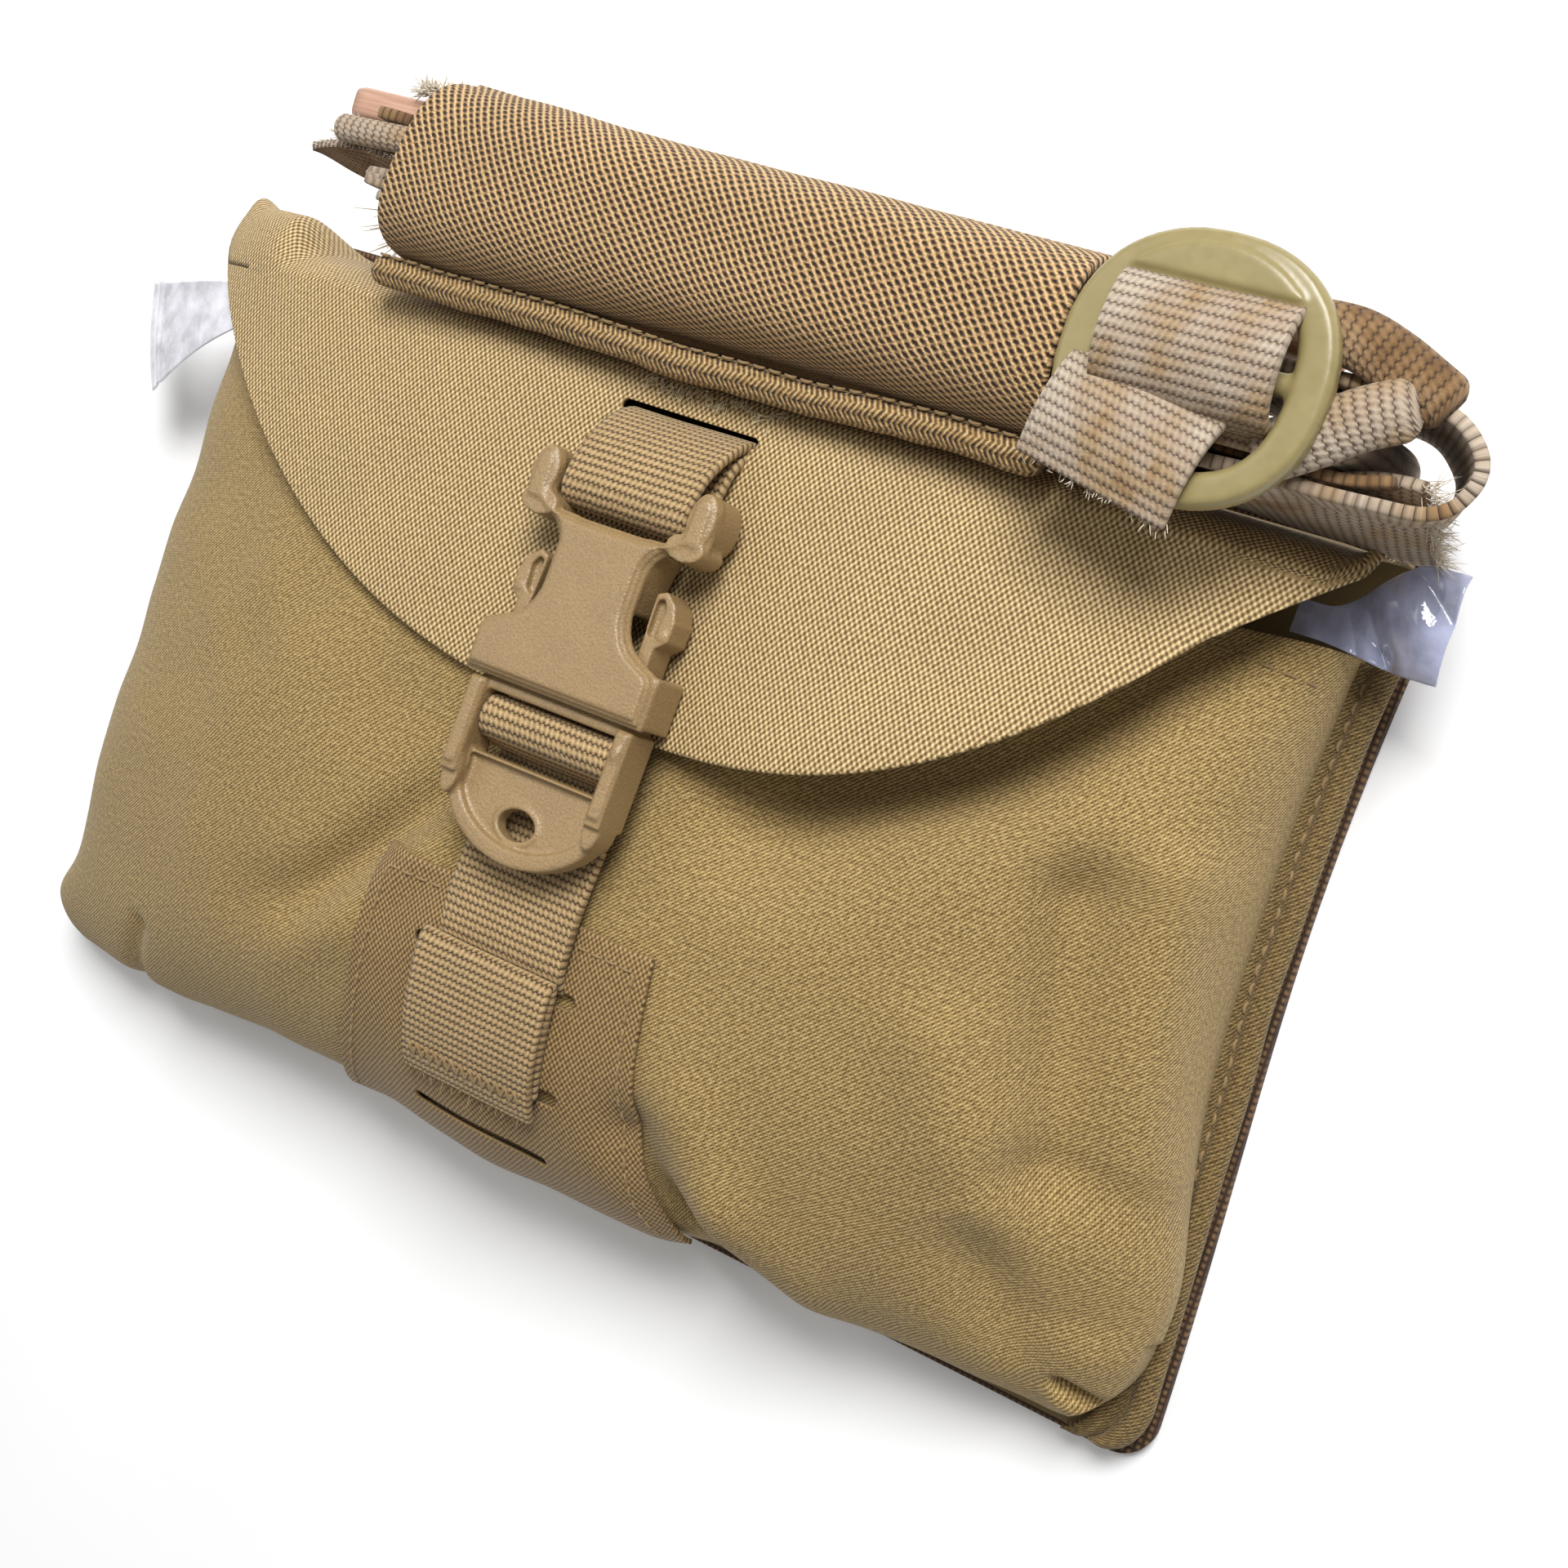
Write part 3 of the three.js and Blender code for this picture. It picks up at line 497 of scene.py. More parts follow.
class Shader:
    """A node material. Each method adds nodes and returns an output to use in the next."""

    def __init__(self, name, roughness=0.85, metallic=0.0):
        self.material = bpy.data.materials.new(name)
        self.material.use_nodes = True
        self.nodes = self.material.node_tree.nodes
        self.links = self.material.node_tree.links
        self.skin = self.nodes["Principled BSDF"]
        self.set("Roughness", roughness)
        self.set("Metallic", metallic)

    def put(self, socket, value):
        if isinstance(value, bpy.types.NodeSocket):
            self.links.new(value, socket)
        else:
            socket.default_value = value

    def set(self, name, value):
        self.put(self.skin.inputs[name], value)

    def add(self, kind, inputs=None, output=0, **settings):
        made = self.nodes.new(kind)
        for key, value in settings.items():
            setattr(made, key, value)
        for key, value in (inputs or {}).items():
            self.put(made.inputs[key], value)
        return made.outputs[output]

    def math(self, operation, *values):
        made = self.nodes.new("ShaderNodeMath")
        made.operation = operation
        for socket, value in zip(made.inputs, values):
            self.put(socket, value)
        return made.outputs[0]

    def plus(self, a, b):
        return self.math("ADD", a, b)

    def times(self, a, b):
        return self.math("MULTIPLY", a, b)

    def wave(self, value, pitch, phase=0.0):
        """A sine of the value with that pitch in millimetres, from -1 to 1."""
        return self.math("SINE", self.math("MULTIPLY_ADD", value, 2 * math.pi / pitch, phase))

    def split(self, vector):
        made = self.nodes.new("ShaderNodeSeparateXYZ")
        self.put(made.inputs[0], vector)
        return made.outputs[0], made.outputs[1], made.outputs[2]

    def flat(self, wobble=0.0):
        """The UV map's vector in millimetres and its two parts, shaken a little as hand-laid threads are."""
        vector = self.add("ShaderNodeUVMap", uv_map="UVMap")
        if wobble:
            shake = self.add("ShaderNodeTexNoise", {"Vector": vector, "Scale": 0.35, "Detail": 2.0}, output=1)
            shift = self.add("ShaderNodeVectorMath", {0: shake, 1: (0.5, 0.5, 0.5)}, operation="SUBTRACT")
            scaled = self.add("ShaderNodeVectorMath", {0: shift, 3: wobble}, operation="SCALE")
            vector = self.add("ShaderNodeVectorMath", {0: vector, 1: scaled}, operation="ADD")
        u, v, _ = self.split(vector)
        return vector, u, v

    def solid(self):
        """The place in the object, in millimetres."""
        place = self.add("ShaderNodeTexCoord", output=3)
        return self.add("ShaderNodeVectorMath", {0: place, 3: 1000.0}, operation="SCALE")

    def noise(self, vector, size, detail=2.0, roughness=0.5):
        """Noise from 0 to 1 with features of about that size in the vector's units."""
        return self.add("ShaderNodeTexNoise", {"Vector": vector, "Scale": 1.0 / size, "Detail": detail,
                                               "Roughness": roughness})

    def ramp(self, factor, *stops):
        made = self.nodes.new("ShaderNodeValToRGB")
        self.put(made.inputs[0], factor)
        elements = made.color_ramp.elements
        while len(elements) < len(stops):
            elements.new(0.5)
        for element, (place, colour) in zip(elements, stops):
            element.position = place
            element.color = (*colour, 1.0)
        return made.outputs[0]

    def mix(self, factor, a, b, blend="MIX"):
        made = self.nodes.new("ShaderNodeMix")
        made.data_type = "RGBA"
        made.blend_type = blend
        self.put(made.inputs[0], factor)
        for socket, value in ((made.inputs[6], a), (made.inputs[7], b)):
            self.put(socket, (*value, 1.0) if isinstance(value, tuple) else value)
        return made.outputs[2]

    def shade(self, colour, amount, vector, size):
        """The colour, a little lighter and darker in patches."""
        patch = self.add("ShaderNodeMapRange", {0: self.noise(vector, size), 1: 0.3, 2: 0.7,
                                                3: 1.0 - amount, 4: 1.0 + amount})
        return self.mix(1.0, colour, patch, "MULTIPLY")

    def fuzzed(self, level, vector, size, detail, gain, offset):
        """The level with the fine unevenness of fibres."""
        return self.plus(level, self.math("MULTIPLY_ADD", self.noise(vector, size, detail), gain, offset))

    def finish(self, colour, height, depth, sheen=0.0):
        """Sets the colour, a bump of that depth in millimetres and the sheen, and returns the material."""
        self.set("Base Color", colour)
        bump = {"Height": height, "Distance": depth * MM, "Strength": 1.0}
        self.set("Normal", self.add("ShaderNodeBump", bump))
        if sheen:
            self.set("Sheen Weight", sheen)
            self.set("Sheen Roughness", 0.5)
            self.set("Sheen Tint", (1.0, 0.93, 0.8, 1.0))
        return self.material


def laminate(name, low, middle, high, pitch=0.74, row=0.54):
    """Coated nylon in plain weave: bright thread crowns, each row half a pitch along from the last."""
    s = Shader(name, roughness=0.7)
    vector, u, v = s.flat(0.16)
    crowns = s.times(s.wave(u, pitch), s.wave(v, 2 * row))
    turn = s.times(s.wave(u, pitch, 0.9), s.wave(v, 2 * row, 0.9))
    level = s.plus(s.math("MULTIPLY_ADD", crowns, 0.42, 0.45), s.times(turn, 0.12))
    level = s.fuzzed(level, vector, 0.55, 3.0, 0.7, -0.35)
    colour = s.ramp(level, (0.08, low), (0.42, middle), (0.88, high))
    return s.finish(s.shade(colour, 0.05, vector, 14.0), level, 0.13, 0.1)


def stretch_fabric(name, low, middle, high):
    """Fine stretch twill, its lines running diagonally."""
    s = Shader(name, roughness=0.9)
    vector, u, v = s.flat(0.12)
    rib = s.wave(s.math("SUBTRACT", u, v), 0.62)
    bead = s.wave(s.plus(u, v), 0.86)
    threads = s.plus(s.math("MULTIPLY_ADD", rib, 0.24, 0.5), s.times(s.times(rib, bead), 0.16))
    level = s.plus(threads, s.math("MULTIPLY_ADD", s.noise(vector, 0.6, 4.0, 0.7), 1.3, -0.65))
    colour = s.ramp(level, (0.1, low), (0.5, middle), (0.92, high))
    return s.finish(s.shade(colour, 0.05, vector, 22.0), level, 0.1, 0.15)


def elastic():
    """Knitted elastic: diagonal ribs with long dark gaps between them."""
    s = Shader("elastic", roughness=0.9)
    vector, u, v = s.flat(0.34)
    across = s.math("MULTIPLY_ADD", u, -0.92, v)
    pitch, gap_pitch = 1.22, 0.78
    rib = s.math("MULTIPLY_ADD", s.wave(across, pitch, math.pi / 2), 0.5, 0.5)
    odd = s.times(s.math("MODULO", s.math("FLOOR", s.math("DIVIDE", across, pitch)), 2.0), math.pi)
    bead = s.math("SINE", s.plus(s.times(u, 2 * math.pi / gap_pitch), odd))
    bead = s.math("MULTIPLY_ADD", bead, 0.5, 0.5)
    valley = s.math("SUBTRACT", 1.0, rib)
    gap = s.times(s.math("POWER", valley, 1.2), bead)
    level = s.plus(s.math("MULTIPLY_ADD", rib, 0.36, 0.56), s.times(gap, -0.8))
    level = s.fuzzed(level, vector, 0.36, 3.0, 1.0, -0.5)
    colour = s.ramp(level, (0.06, srgb(44, 26, 8)), (0.32, srgb(96, 68, 34)), (0.58, srgb(150, 116, 74)),
                    (0.95, srgb(214, 180, 132)))
    return s.finish(s.shade(colour, 0.05, vector, 16.0), level, 0.34, 0.12)


def knit_hem():
    """The elastic's rolled edge: rows of slanting stitches with dark gaps."""
    s = Shader("knit_hem", roughness=0.9)
    vector, u, v = s.flat(0.2)
    vee = s.math("ABSOLUTE", s.math("SUBTRACT", s.math("FRACT", s.math("DIVIDE", u, 2.6)), 0.5))
    rows = s.math("MULTIPLY_ADD", s.wave(s.math("MULTIPLY_ADD", vee, 1.3, v), 0.74), 0.5, 0.5)
    seam = s.math("POWER", s.math("MULTIPLY", vee, 2.0), 3.0)
    level = s.plus(s.times(rows, 0.62), s.times(seam, -0.3))
    level = s.fuzzed(level, vector, 0.55, 3.0, 1.1, -0.35)
    colour = s.ramp(level, (0.05, srgb(44, 27, 8)), (0.35, srgb(124, 94, 50)), (0.62, srgb(170, 138, 88)),
                    (0.95, srgb(214, 184, 134)))
    return s.finish(colour, level, 0.34, 0.12)


def webbing_threads(s, row, bead):
    """Heights from 0 to 1 of webbing: rows of beads across it, each row half a bead along from the last."""
    vector, u, v = s.flat(0.2)
    odd = s.times(s.math("MODULO", s.math("FLOOR", s.math("DIVIDE", v, row)), 2.0), math.pi)
    crown = s.math("SINE", s.plus(s.times(s.math("MULTIPLY_ADD", v, 0.35, u), 2 * math.pi / bead), odd))
    between_beads = s.math("MULTIPLY_ADD", crown, -0.5, 0.5)
    between_rows = s.math("SUBTRACT", 1.0, s.math("ABSOLUTE", s.wave(v, 2 * row)))
    gap = s.times(between_beads, between_rows)
    level = s.plus(s.math("MULTIPLY_ADD", between_rows, -0.26, 0.86), s.times(between_beads, -0.2))
    level = s.plus(level, s.times(gap, -0.5))
    return vector, s.fuzzed(level, vector, 0.4, 3.0, 0.6, -0.3)


def webbing(name, low, middle, high):
    s = Shader(name, roughness=0.85)
    vector, level = webbing_threads(s, 1.02, 0.78)
    colour = s.ramp(level, (0.1, low), (0.5, middle), (0.95, high))
    return s.finish(s.shade(colour, 0.06, vector, 8.0), level, 0.3, 0.15)


def camouflage_strap(name, brown, tan, grey, pale):
    """The tourniquet's webbing, printed in soft blotches."""
    s = Shader(name, roughness=0.88)
    vector, level = webbing_threads(s, 1.2, 0.8)
    stretched = s.add("ShaderNodeVectorMath", {0: vector, 1: (1.0, 0.7, 1.0)}, operation="MULTIPLY")
    blotch = s.noise(stretched, 9.0, 3.0, 0.62)
    print_colour = s.ramp(blotch, (0.34, brown), (0.42, tan), (0.5, grey), (0.62, pale))
    shadow = s.ramp(level, (0.0, srgb(112, 94, 78)), (0.42, srgb(190, 182, 174)), (0.95, srgb(236, 231, 224)))
    return s.finish(s.mix(1.0, print_colour, shadow, "MULTIPLY"), level, 0.3, 0.2)


def moulded_plastic(name, colour, roughness, grain, depth, contrast=0.16):
    """Moulded nylon with a sparked grain and faint flow marks."""
    s = Shader(name, roughness=roughness)
    vector = s.solid()
    fine = s.noise(vector, grain, 2.0)
    tone = s.ramp(fine, (0.3, tuple(c * (1 - contrast) for c in colour)), (0.5, colour),
                  (0.72, tuple(min(1.0, c * (1 + contrast)) for c in colour)))
    s.set("Roughness", s.math("MULTIPLY_ADD", fine, 0.2, roughness - 0.1))
    s.set("Specular IOR Level", 0.6)
    return s.finish(s.shade(tone, 0.04, vector, 6.0), fine, depth)


def anodised_metal():
    """The windlass: pale bronze anodised aluminium with drawn lines along it."""
    s = Shader("windlass_metal", roughness=0.42, metallic=0.35)
    vector = s.solid()
    drawn = s.add("ShaderNodeVectorMath", {0: vector, 1: (0.04, 1.0, 1.0)}, operation="MULTIPLY")
    lines = s.noise(drawn, 0.35, 2.0)
    colour = s.ramp(lines, (0.3, srgb(190, 148, 124)), (0.7, srgb(212, 172, 148)))
    return s.finish(colour, lines, 0.03)


def clear_film(name, tint, alpha):
    """Thin clear plastic, milky in places."""
    s = Shader(name, roughness=0.07)
    vector = s.solid()
    haze = s.noise(vector, 4.0, 3.0)
    colour = s.ramp(haze, (0.3, tint), (0.7, tuple(min(1.0, c * 1.7) for c in tint)))
    s.set("Alpha", s.math("MULTIPLY_ADD", haze, 0.35, alpha - 0.17))
    s.set("IOR", 1.5)
    s.set("Specular IOR Level", 0.9)
    s.set("Coat Weight", 0.6)
    return s.finish(colour, s.noise(vector, 1.4, 2.0), 0.12)


def gauze():
    """Bleached cotton in an open weave."""
    s = Shader("gauze", roughness=0.95)
    vector = s.solid()
    x, y, _ = s.split(vector)
    level = s.math("MULTIPLY_ADD", s.times(s.wave(x, 0.9), s.wave(y, 0.9)), 0.5, 0.5)
    colour = s.ramp(level, (0.1, srgb(205, 200, 188)), (0.9, srgb(246, 243, 235)))
    return s.finish(s.shade(colour, 0.04, vector, 9.0), level, 0.2)


def platform_laminate():
    """The rear platform's dark laminate, patterned by place because its cut edges show."""
    s = Shader("platform_laminate", roughness=0.8)
    vector = s.solid()
    x, y, _ = s.split(vector)
    crowns = s.math("ABSOLUTE", s.times(s.wave(x, 1.7), s.wave(y, 1.9)))
    level = s.fuzzed(crowns, vector, 0.6, 3.0, 0.5, -0.25)
    colour = s.ramp(level, (0.05, srgb(52, 34, 20)), (0.5, srgb(84, 60, 38)), (0.95, srgb(122, 94, 64)))
    return s.finish(s.shade(colour, 0.06, vector, 14.0), level, 0.14)


def thread(name, colour):
    s = Shader(name, roughness=0.7)
    vector = s.solid()
    twist = s.noise(vector, 0.35, 2.0)
    shaded = s.ramp(twist, (0.3, tuple(c * 0.75 for c in colour)), (0.7, colour))
    return s.finish(shaded, twist, 0.05, 0.3)


FLAP_FABRIC = laminate("flap_laminate", srgb(92, 66, 26), srgb(154, 128, 82), srgb(226, 200, 150))
PATCH_FABRIC = laminate("patch_laminate", srgb(84, 58, 24), srgb(128, 101, 58), srgb(178, 150, 102), 0.7, 0.5)
BACK_FABRIC = laminate("back_laminate", srgb(70, 54, 24), srgb(108, 90, 50), srgb(150, 130, 84))
STRETCH = stretch_fabric("stretch_fabric", srgb(84, 62, 26), srgb(144, 118, 68), srgb(202, 176, 120))
# The seam strips' fabric: a darker copy of the stretch fabric, painted shade for strips that face away from
# the light.
STRETCH_PAINTED_SHADE = stretch_fabric("stretch_fabric_painted_shade", srgb(54, 40, 16), srgb(108, 86, 46), srgb(160, 136, 88))
ELASTIC = elastic()
HEM_KNIT = knit_hem()
WEBBING = webbing("pouch_webbing", srgb(56, 38, 16), srgb(138, 110, 70), srgb(200, 172, 126))
CAMOUFLAGE = camouflage_strap("camouflage_strap", srgb(164, 128, 84), srgb(190, 166, 132),
                              srgb(196, 178, 158), srgb(212, 200, 184))
BROWN_PRINT = camouflage_strap("brown_print", srgb(98, 68, 38), srgb(128, 96, 58),
                               srgb(156, 124, 84), srgb(180, 152, 118))
BUCKLE_PLASTIC = moulded_plastic("buckle_plastic", srgb(150, 124, 86), 0.36, 0.3, 0.09)
RING_PLASTIC = moulded_plastic("ring_plastic", srgb(146, 132, 88), 0.34, 1.6, 0.01, 0.05)
METAL = anodised_metal()
FILM_RIGHT = clear_film("film_bluish", srgb(150, 154, 178), 0.74)
FILM_LEFT = clear_film("film_white", srgb(196, 196, 202), 1.0)
GAUZE = gauze()
PLATFORM = platform_laminate()
THREAD = thread("thread_brown", srgb(150, 122, 78))
PALE_THREAD = thread("thread_pale", srgb(212, 196, 160))
FUZZ = thread("fuzz", srgb(226, 214, 194))
# Dark brown on the cut edges of the flap and the patch: partly the raw edge's own colour, partly painted
# shade for the dark gap along the patch's edge.
CUT_EDGE_AND_SHADE = thread("cut_edge_and_shade", srgb(78, 54, 26))


# ---------- camera, light and floor ----------

CAMERA_PLACE = (143.4, 35.93, 269.14)
CAMERA_FROM = (0.467, 0.117, 0.8765)      # the way from the pouch to the camera
CAMERA_ROLL = math.radians(17.92)
LENS = 51.65
SHIFT = (0.0637, -0.0052)
WORLD_LIGHT = 0.34
AREA_LIGHTS = (("key", (0.2, 0.52, 0.7), 0.4, 9.2), ("fill", (-0.5, 0.2, 0.8), 0.5, 1.1))   # metres, watts
FLOOR_REACH = 3000.0
FLOOR_Z = -0.05


def make_camera():
    back = Vector(CAMERA_FROM).normalized()
    up = (Vector((0, 1, 0)) - back * back.y).normalized()
    right = up.cross(back)
    turned_up = up * math.cos(CAMERA_ROLL) - right * math.sin(CAMERA_ROLL)
    turned_right = turned_up.cross(back)
    data = bpy.data.cameras.new("camera")
    data.lens = LENS
    data.sensor_width = 36.0
    data.shift_x, data.shift_y = SHIFT
    data.clip_start = 0.01
    camera = bpy.data.objects.new("camera", data)
    axes = Matrix((turned_right, turned_up, back)).transposed().to_4x4()
    axes.translation = Vector(CAMERA_PLACE) * MM
    camera.matrix_world = axes
    bpy.context.scene.collection.objects.link(camera)
    bpy.context.scene.camera = camera


def area_light(name, place, size, energy):
    data = bpy.data.lights.new(name, "AREA")
    data.size = size
    data.energy = energy
    light = bpy.data.objects.new(name, data)
    place = Vector(place)
    light.matrix_world = Matrix.Translation(place) @ place.to_track_quat("Z", "Y").to_matrix().to_4x4()
    bpy.context.scene.collection.objects.link(light)


def make_studio():
    world = bpy.data.worlds.new("studio")
    world.use_nodes = True
    background = world.node_tree.nodes["Background"]
    background.inputs[0].default_value = (1, 1, 1, 1)
    background.inputs[1].default_value = WORLD_LIGHT
    bpy.context.scene.world = world
    bpy.context.scene.view_settings.view_transform = "Standard"
    for name, place, size, energy in AREA_LIGHTS:
        area_light(name, place, size, energy)
    s = Shader("floor", roughness=0.9)
    s.set("Base Color", s.ramp(s.noise(s.solid(), 60.0), (0.3, (0.93,) * 3), (0.7, (0.95,) * 3)))
    corners = rectangle(-FLOOR_REACH, FLOOR_REACH, -FLOOR_REACH, FLOOR_REACH)
    corners = np.column_stack([corners, np.full(4, FLOOR_Z)])
    make_object("floor", corners, [[0, 1, 2, 3]], s.material)


make_camera()
make_studio()


# ---------- the pouch's form ----------

def fall(ratio):
    return np.maximum(0.0, 1.0 - np.abs(ratio) ** SQUARENESS) ** (1.0 / SQUARENESS)


def crown_height(y):
    return np.where(y < 0, CROWN * fall(y / BOTTOM), CROWN - MOUTH_DROP * (y / FOLD_REACH) ** 2)


def dent(x, y):
    """The hollow that the buckle's strap pulls into the front."""
    away = np.clip((y - 10.0) / 120.0, -0.5, 0.5)
    return 3.2 * np.exp(-0.5 * ((x - DENT_X) / 14.0) ** 2) * np.cos(np.pi * away) ** 2


def body_height(x, y):
    return BASE + crown_height(y) * fall(x / HALF_WIDTH) - dent(x, y)


def flap_height(x, y):
    return BASE + FLAP_LIFT + crown_height(y) * fall(x / FLAP_HALF) - dent(x, y)


def flap_edge(x):
    curve = FLAP_TIP + np.where(x < 0, FLAP_LEFT_CURVE * x ** 2, FLAP_RIGHT_CURVE * x ** 3)
    straight = FLAP_STRAIGHT_FROM[1] + FLAP_STRAIGHT_SLOPE * (x - FLAP_STRAIGHT_FROM[0])
    return np.where(x > FLAP_STRAIGHT_FROM[0], straight, curve)


def pinched(x, y):
    """The place across the pouch of a point whose side is drawn in by the stuffing."""
    depth, middle, spread = PINCH
    return x * (1.0 - depth / HALF_WIDTH * bell(y, middle, spread))


def even_steps(a, b, count):
    """Even steps along the curve (a, b)."""
    length = np.concatenate([[0], np.cumsum(np.hypot(np.diff(a), np.diff(b)))])
    at = np.linspace(0, length[-1], count)
    return np.interp(at, length, a), np.interp(at, length, b)


def rounded_half(count, reach, height, angles=(0.0, math.pi)):
    """Even steps over the rounded section: places from -reach on, and shares of the height."""
    angle = np.linspace(*angles, 4000)
    across = -signed_power(np.cos(angle), 2.0 / SQUARENESS) * reach
    rise = np.abs(np.sin(angle)) ** (2.0 / SQUARENESS) * height
    across, rise = even_steps(across, rise, count)
    return across, rise / height


def top_surface(piece):
    """A function that sets (x, y) points on a piece seen from above and returns points and normals."""
    tree = BVHTree.FromObject(piece, bpy.context.evaluated_depsgraph_get())

    def settle(places, lift):
        points, normals = [], []
        for x, y in places:
            hit, normal, _, _ = tree.ray_cast(Vector((x, y, ABOVE)) * MM, Vector((0, 0, -1)))
            if hit is not None:
                points.append(np.array(hit) / MM + np.array(normal) * lift)
                normals.append(np.array(normal))
        return np.array(points), np.array(normals)

    return settle


def declare(piece):
    """Reads the UV map of a closed sheet of cloth, which holds its flat size in millimetres, and does nothing
    with it.
    """
    layer = piece.data.uv_layers[0].data
    uv = np.empty(len(layer) * 2)
    layer.foreach_get("uv", uv)


# ---------- front ----------

RIDGES = (                       # start, end, width and height of each, valleys below 0
    ((31, -34), (38, -43.5), 5.0, 1.6),
    ((24, -40), (30, -49.5), 4.0, -2.6),
    ((38, -43.5), (48, -51), 5.0, 1.6),
    ((31, -49.5), (40, -57), 4.0, -2.6),
    ((78, 12), (81, -20), 4.5, 2.6),
    ((70, 6), (76, -22), 5.5, -4.2),
    ((60, -14), (67, -30), 6.0, 2.6),
    ((72, -26), (78, -40), 4.0, -2.4),
)
CORNER_RIDGES = (
    ((79.5, -49.8), (84.5, -50.8), 1.0, -2.4),
    ((79, -52.0), (84, -53.0), 1.4, 0.9),
    ((-66, -46), (-71, -56), 1.5, -1.3),
    ((35, 10), (68, 24), 9.0, -1.8),
)
UNDER_FLAP = 6.0                 # depth of the hollow beneath the flap's right edge
LEFT_OVERHANG = 5.6
LOBE_MIDDLE = (72.0, -41.0)      # of the rounded lower right corner
LOBE_RADIUS = 14.0
SEAM_SECTION = [(83.4, 3.35), (85.2, 3.4), (87.6, 3.45), (89.0, 3.6), (89.5, 4.3), (88.9, 5.1), (87.6, 5.3),
                (86.5, 4.3), (85.4, 5.3), (83.6, 5.6)]


def front_wrinkles(x, y):
    """Folds and hollows in the front, as heights along its normal."""
    height = crease(x, y, (-10, -4), (-34, -31), 3.6, 3.0)
    height += crease(x, y, (-16, -20), (-42, -33), 4.5, 1.4)
    for start, end, width, rise in RIDGES:
        height += rise * bell(segment_distance(x, y, start, end)[0], 0, width)
    height += crease(x, y, (66, -31), (76, -50), 4.2, 2.8)
    for start, end, width, rise in CORNER_RIDGES:
        height += rise * bell(segment_distance(x, y, start, end)[0], 0, width)
    beneath = y - flap_edge(x)
    gap = smoothstep(14, 34, x) * smoothstep(90, 74, x)
    height -= UNDER_FLAP * gap * bell(beneath, -1.0, 11.0)
    height += 0.9 * value_noise(x / 24.0, y / 24.0, 3) + 0.35 * value_noise(x / 9.0, y / 9.0, 5)
    covered = smoothstep(-4.0, 4.0, beneath)
    return height * (1.0 - covered) + np.minimum(height, 0.0) * covered


def overhang(points, x, y, rise, crown):
    """Moves the front's sides out over its seams, by how full the stuffing is there."""
    full = np.sin(np.pi * np.clip(rise, 0, 1) ** 0.6) * np.minimum(1.0, crown / 10.0)
    low = smoothstep(-36, -54, y)
    tip = 3.8 * bell(y, -50, 5.0) * smoothstep(-70, -85, x)
    points[:, :, 0] -= (LEFT_OVERHANG * smoothstep(-60, -84, x) + tip) * full
    points[:, :, 0] += 5.0 * bell(y, -36, 15) * smoothstep(58, 84, x) * full
    foot = np.sin(np.pi * np.clip(crown / CROWN, 0, 1) ** 0.6) * np.minimum(1.0, rise * 2.0)
    sag = 2.6 * smoothstep(-38, -72, x) - 0.4
    points[:, :, 1] -= sag * low * foot
    return points


def round_corner(points):
    """Rounds the lower right corner in plan, which leaves the seam and the platform's corner in view."""
    dx = np.maximum(points[:, :, 0] - LOBE_MIDDLE[0], 0.0)
    dy = np.maximum(LOBE_MIDDLE[1] - points[:, :, 1], 0.0)
    far = np.hypot(dx, dy)
    allowed = LOBE_RADIUS + 2.0 * dx / np.maximum(far, 1e-6)
    pull = np.where((dx > 0) & (dy > 0) & (far > allowed), allowed / np.maximum(far, 1e-6), 1.0)
    points[:, :, 0] -= dx * (1.0 - pull)
    points[:, :, 1] += dy * (1.0 - pull)
    return points


def side_name(side):
    return "left" if side < 0 else "right"


def front_cloth():
    columns, rows = 300, 220
    x, rise = rounded_half(columns, HALF_WIDTH, CROWN)
    foot, foot_rise = rounded_half(4000, -BOTTOM, CROWN, (0.0, math.pi / 2))
    straight = np.linspace(0, MOUTH, 2000)[1:]
    y, crown = even_steps(np.concatenate([foot, straight]),
                          np.concatenate([foot_rise * CROWN, crown_height(straight)]), rows)
    x, rise, y, crown = x[:, None], rise[:, None], y[None, :], crown[None, :]
    z = BASE + (crown - dent(x, y)) * rise
    points = np.dstack([x + 0 * y, y + 0 * x, z])
    inside = np.minimum(1.0, rise * 2.2) * np.minimum(1.0, crown / 9.0)
    points = points + grid_normals(points) * (front_wrinkles(x, y) * inside)[:, :, None]
    points = round_corner(overhang(points, x, y, rise, crown))
    points[:, :, 0] = pinched(points[:, :, 0], points[:, :, 1])
    piece = cloth("front_cloth", points, 1.0, STRETCH, lift=-1.0)
    place(piece, "pouch", "stretch_fabric", "front_panel")
    declare(piece)
    return piece


